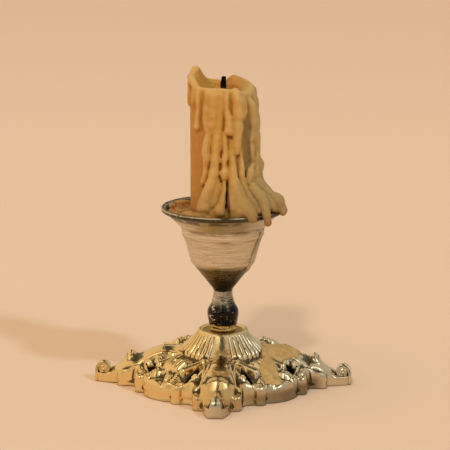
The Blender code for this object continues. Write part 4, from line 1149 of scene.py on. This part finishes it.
def plain_floor():
    bm = bmesh.new()
    bmesh.ops.create_grid(bm, x_segments=1, y_segments=1, size=4000,
                          matrix=Matrix.Translation((0, 1500, -0.1)))
    paper = Finish("floor_paper", Roughness=0.9)
    # Painted shade: the paper darkens further back, as the light falls off.
    base = paper.y.between(150.0, 1400.0).mix(PAPER_TONES["near"], PAPER_TONES["far"])
    floor = object_of("plain_floor", bm, paper.link(Base_Color=base), recalculate=False)


def soft_light(name, azimuth, elevation, strength, width, colour=(1, 1, 1)):
    """A soft lamp far off, width degrees across. Azimuth 0 is in front, and 90 is at the right.
    Returns the way towards it."""
    lamp = bpy.data.lights.new(name, "SUN")
    lamp.angle = math.radians(width)
    lamp.energy = strength
    lamp.color = colour
    obj = bpy.data.objects.new(name, lamp)
    bpy.context.scene.collection.objects.link(obj)
    obj.visible_glossy = False
    turn, rise = math.radians(azimuth), math.radians(elevation)
    towards = Vector((math.sin(turn) * math.cos(rise), -math.cos(turn) * math.cos(rise), math.sin(rise)))
    obj.rotation_euler = towards.to_track_quat("Z", "Y").to_euler()
    return towards


def studio():
    """A paper floor, a small lamp in front, a cooler one at the right, and a room that is palest at the
    left. Polished metal shows the lamps as soft panes, parted by a dark gap, on warm walls."""
    plain_floor()
    front = soft_light("front", azimuth=-10, elevation=46, strength=0.87, width=5)
    right = soft_light("right", azimuth=51, elevation=40, strength=1.4, width=5, colour=(0.42, 0.66, 1.0))
    world = bpy.data.worlds.new("studio")
    world.use_nodes = True
    background = world.node_tree.nodes["Background"]
    way = Wire(world.node_tree.nodes.new("ShaderNodeTexCoord").outputs["Generated"])

    def facing(aim):
        return way.node("VectorMath", {"operation": "DOT_PRODUCT"}, {0: way, 1: aim}, out=1)

    tone = ROOM_TONES
    soft = facing((-0.70, -0.18, 0.69)).clamped().mix(tone["shade"], tone["light"])
    mirrored = facing((-0.80, 0.30, 0.52)).clamped().mix(tone["wall"], tone["left wall"])
    mirrored = facing(front).between(0.91, 0.98).mix(mirrored, tone["front glow"])
    mirrored = facing(right).between(0.93, 0.99).mix(mirrored, tone["right glow"])
    lamps = facing(front).between(0.994, 0.998) + facing(right).between(0.992, 0.997) * 0.8
    mirrored = lamps.mix(mirrored, tone["pane"])
    off_middle = abs(facing((1.0, 0.0, 0.0)) + 0.01)
    gap = (1.0 - off_middle.between(0.09, 0.14)) * facing((0.0, 0.0, 1.0)).between(0.16, 0.24)
    mirrored = gap.mix(mirrored, tone["gap"])
    glossy = way.node("LightPath", out="Is Glossy Ray")
    world.node_tree.links.new(glossy.mix(soft, mirrored).socket, background.inputs["Color"])
    background.inputs["Strength"].default_value = 1.0
    bpy.context.scene.world = world


def camera():
    data = bpy.data.cameras.new("camera")
    data.lens = CAMERA_LENS
    data.sensor_width = 36
    data.clip_end = 20
    obj = bpy.data.objects.new("camera", data)
    bpy.context.scene.collection.objects.link(obj)
    obj.location = CAMERA_PLACE
    obj.rotation_euler = (obj.location - CAMERA_AIM).to_track_quat("Z", "Y").to_euler()
    bpy.context.scene.camera = obj


# ---------------------------------------------------------------- the whole

WAX = wax_finish()
DULL_WAX = dull_wax_finish()
CHAR = wick_finish()
CUP = cup_finish()
STEM = stem_finish()
PLATE = plated_finish()
STEEL = screw_finish()

SHEET_REACH = [8.2, 7.4, 6.4, 6, 6.2, 6.4, 5.4, 6.4, 8.8, 7.2, 6.6, 7.6]
DROP_REACH = [3, 3, 3.4, 6.0, 7.0, 3.6, 2.6, 3.2, 5.2, 8, 8.6, 4.4]


def put_in_place(obj, slot, *replaced):
    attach(obj, ROOT)
    if replaced:
        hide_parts(*replaced)


def repaint(node, material):
    mesh = bpy.data.objects[node].data
    mesh.materials.clear()
    mesh.materials.append(material)


put_in_place(candle(), "wax", "candle")
put_in_place(wick(), "charred_wick", "wick")
put_in_place(wax_run(), "wax", "wax_run")
put_in_place(cup(), "worn_cup", "cup")
put_in_place(stem(), "black_stem", "stem")
put_in_place(base(), "plated_casting", "base")
for corner in range(4):
    put_in_place(volute(corner), "plated_casting")
put_in_place(spill("spilt_sheet", (19.0, -0.5), SHEET_REACH, 0.7), "dull_wax", "wax_spill")
put_in_place(spill("spilt_drop", (16.2, -16.2), DROP_REACH, 0.4), "dull_wax", "wax_spill_small")
repaint("tie_screw", STEEL)
repaint("washer", STEEL)

studio()
camera()
bpy.context.scene.view_settings.view_transform = "Standard"
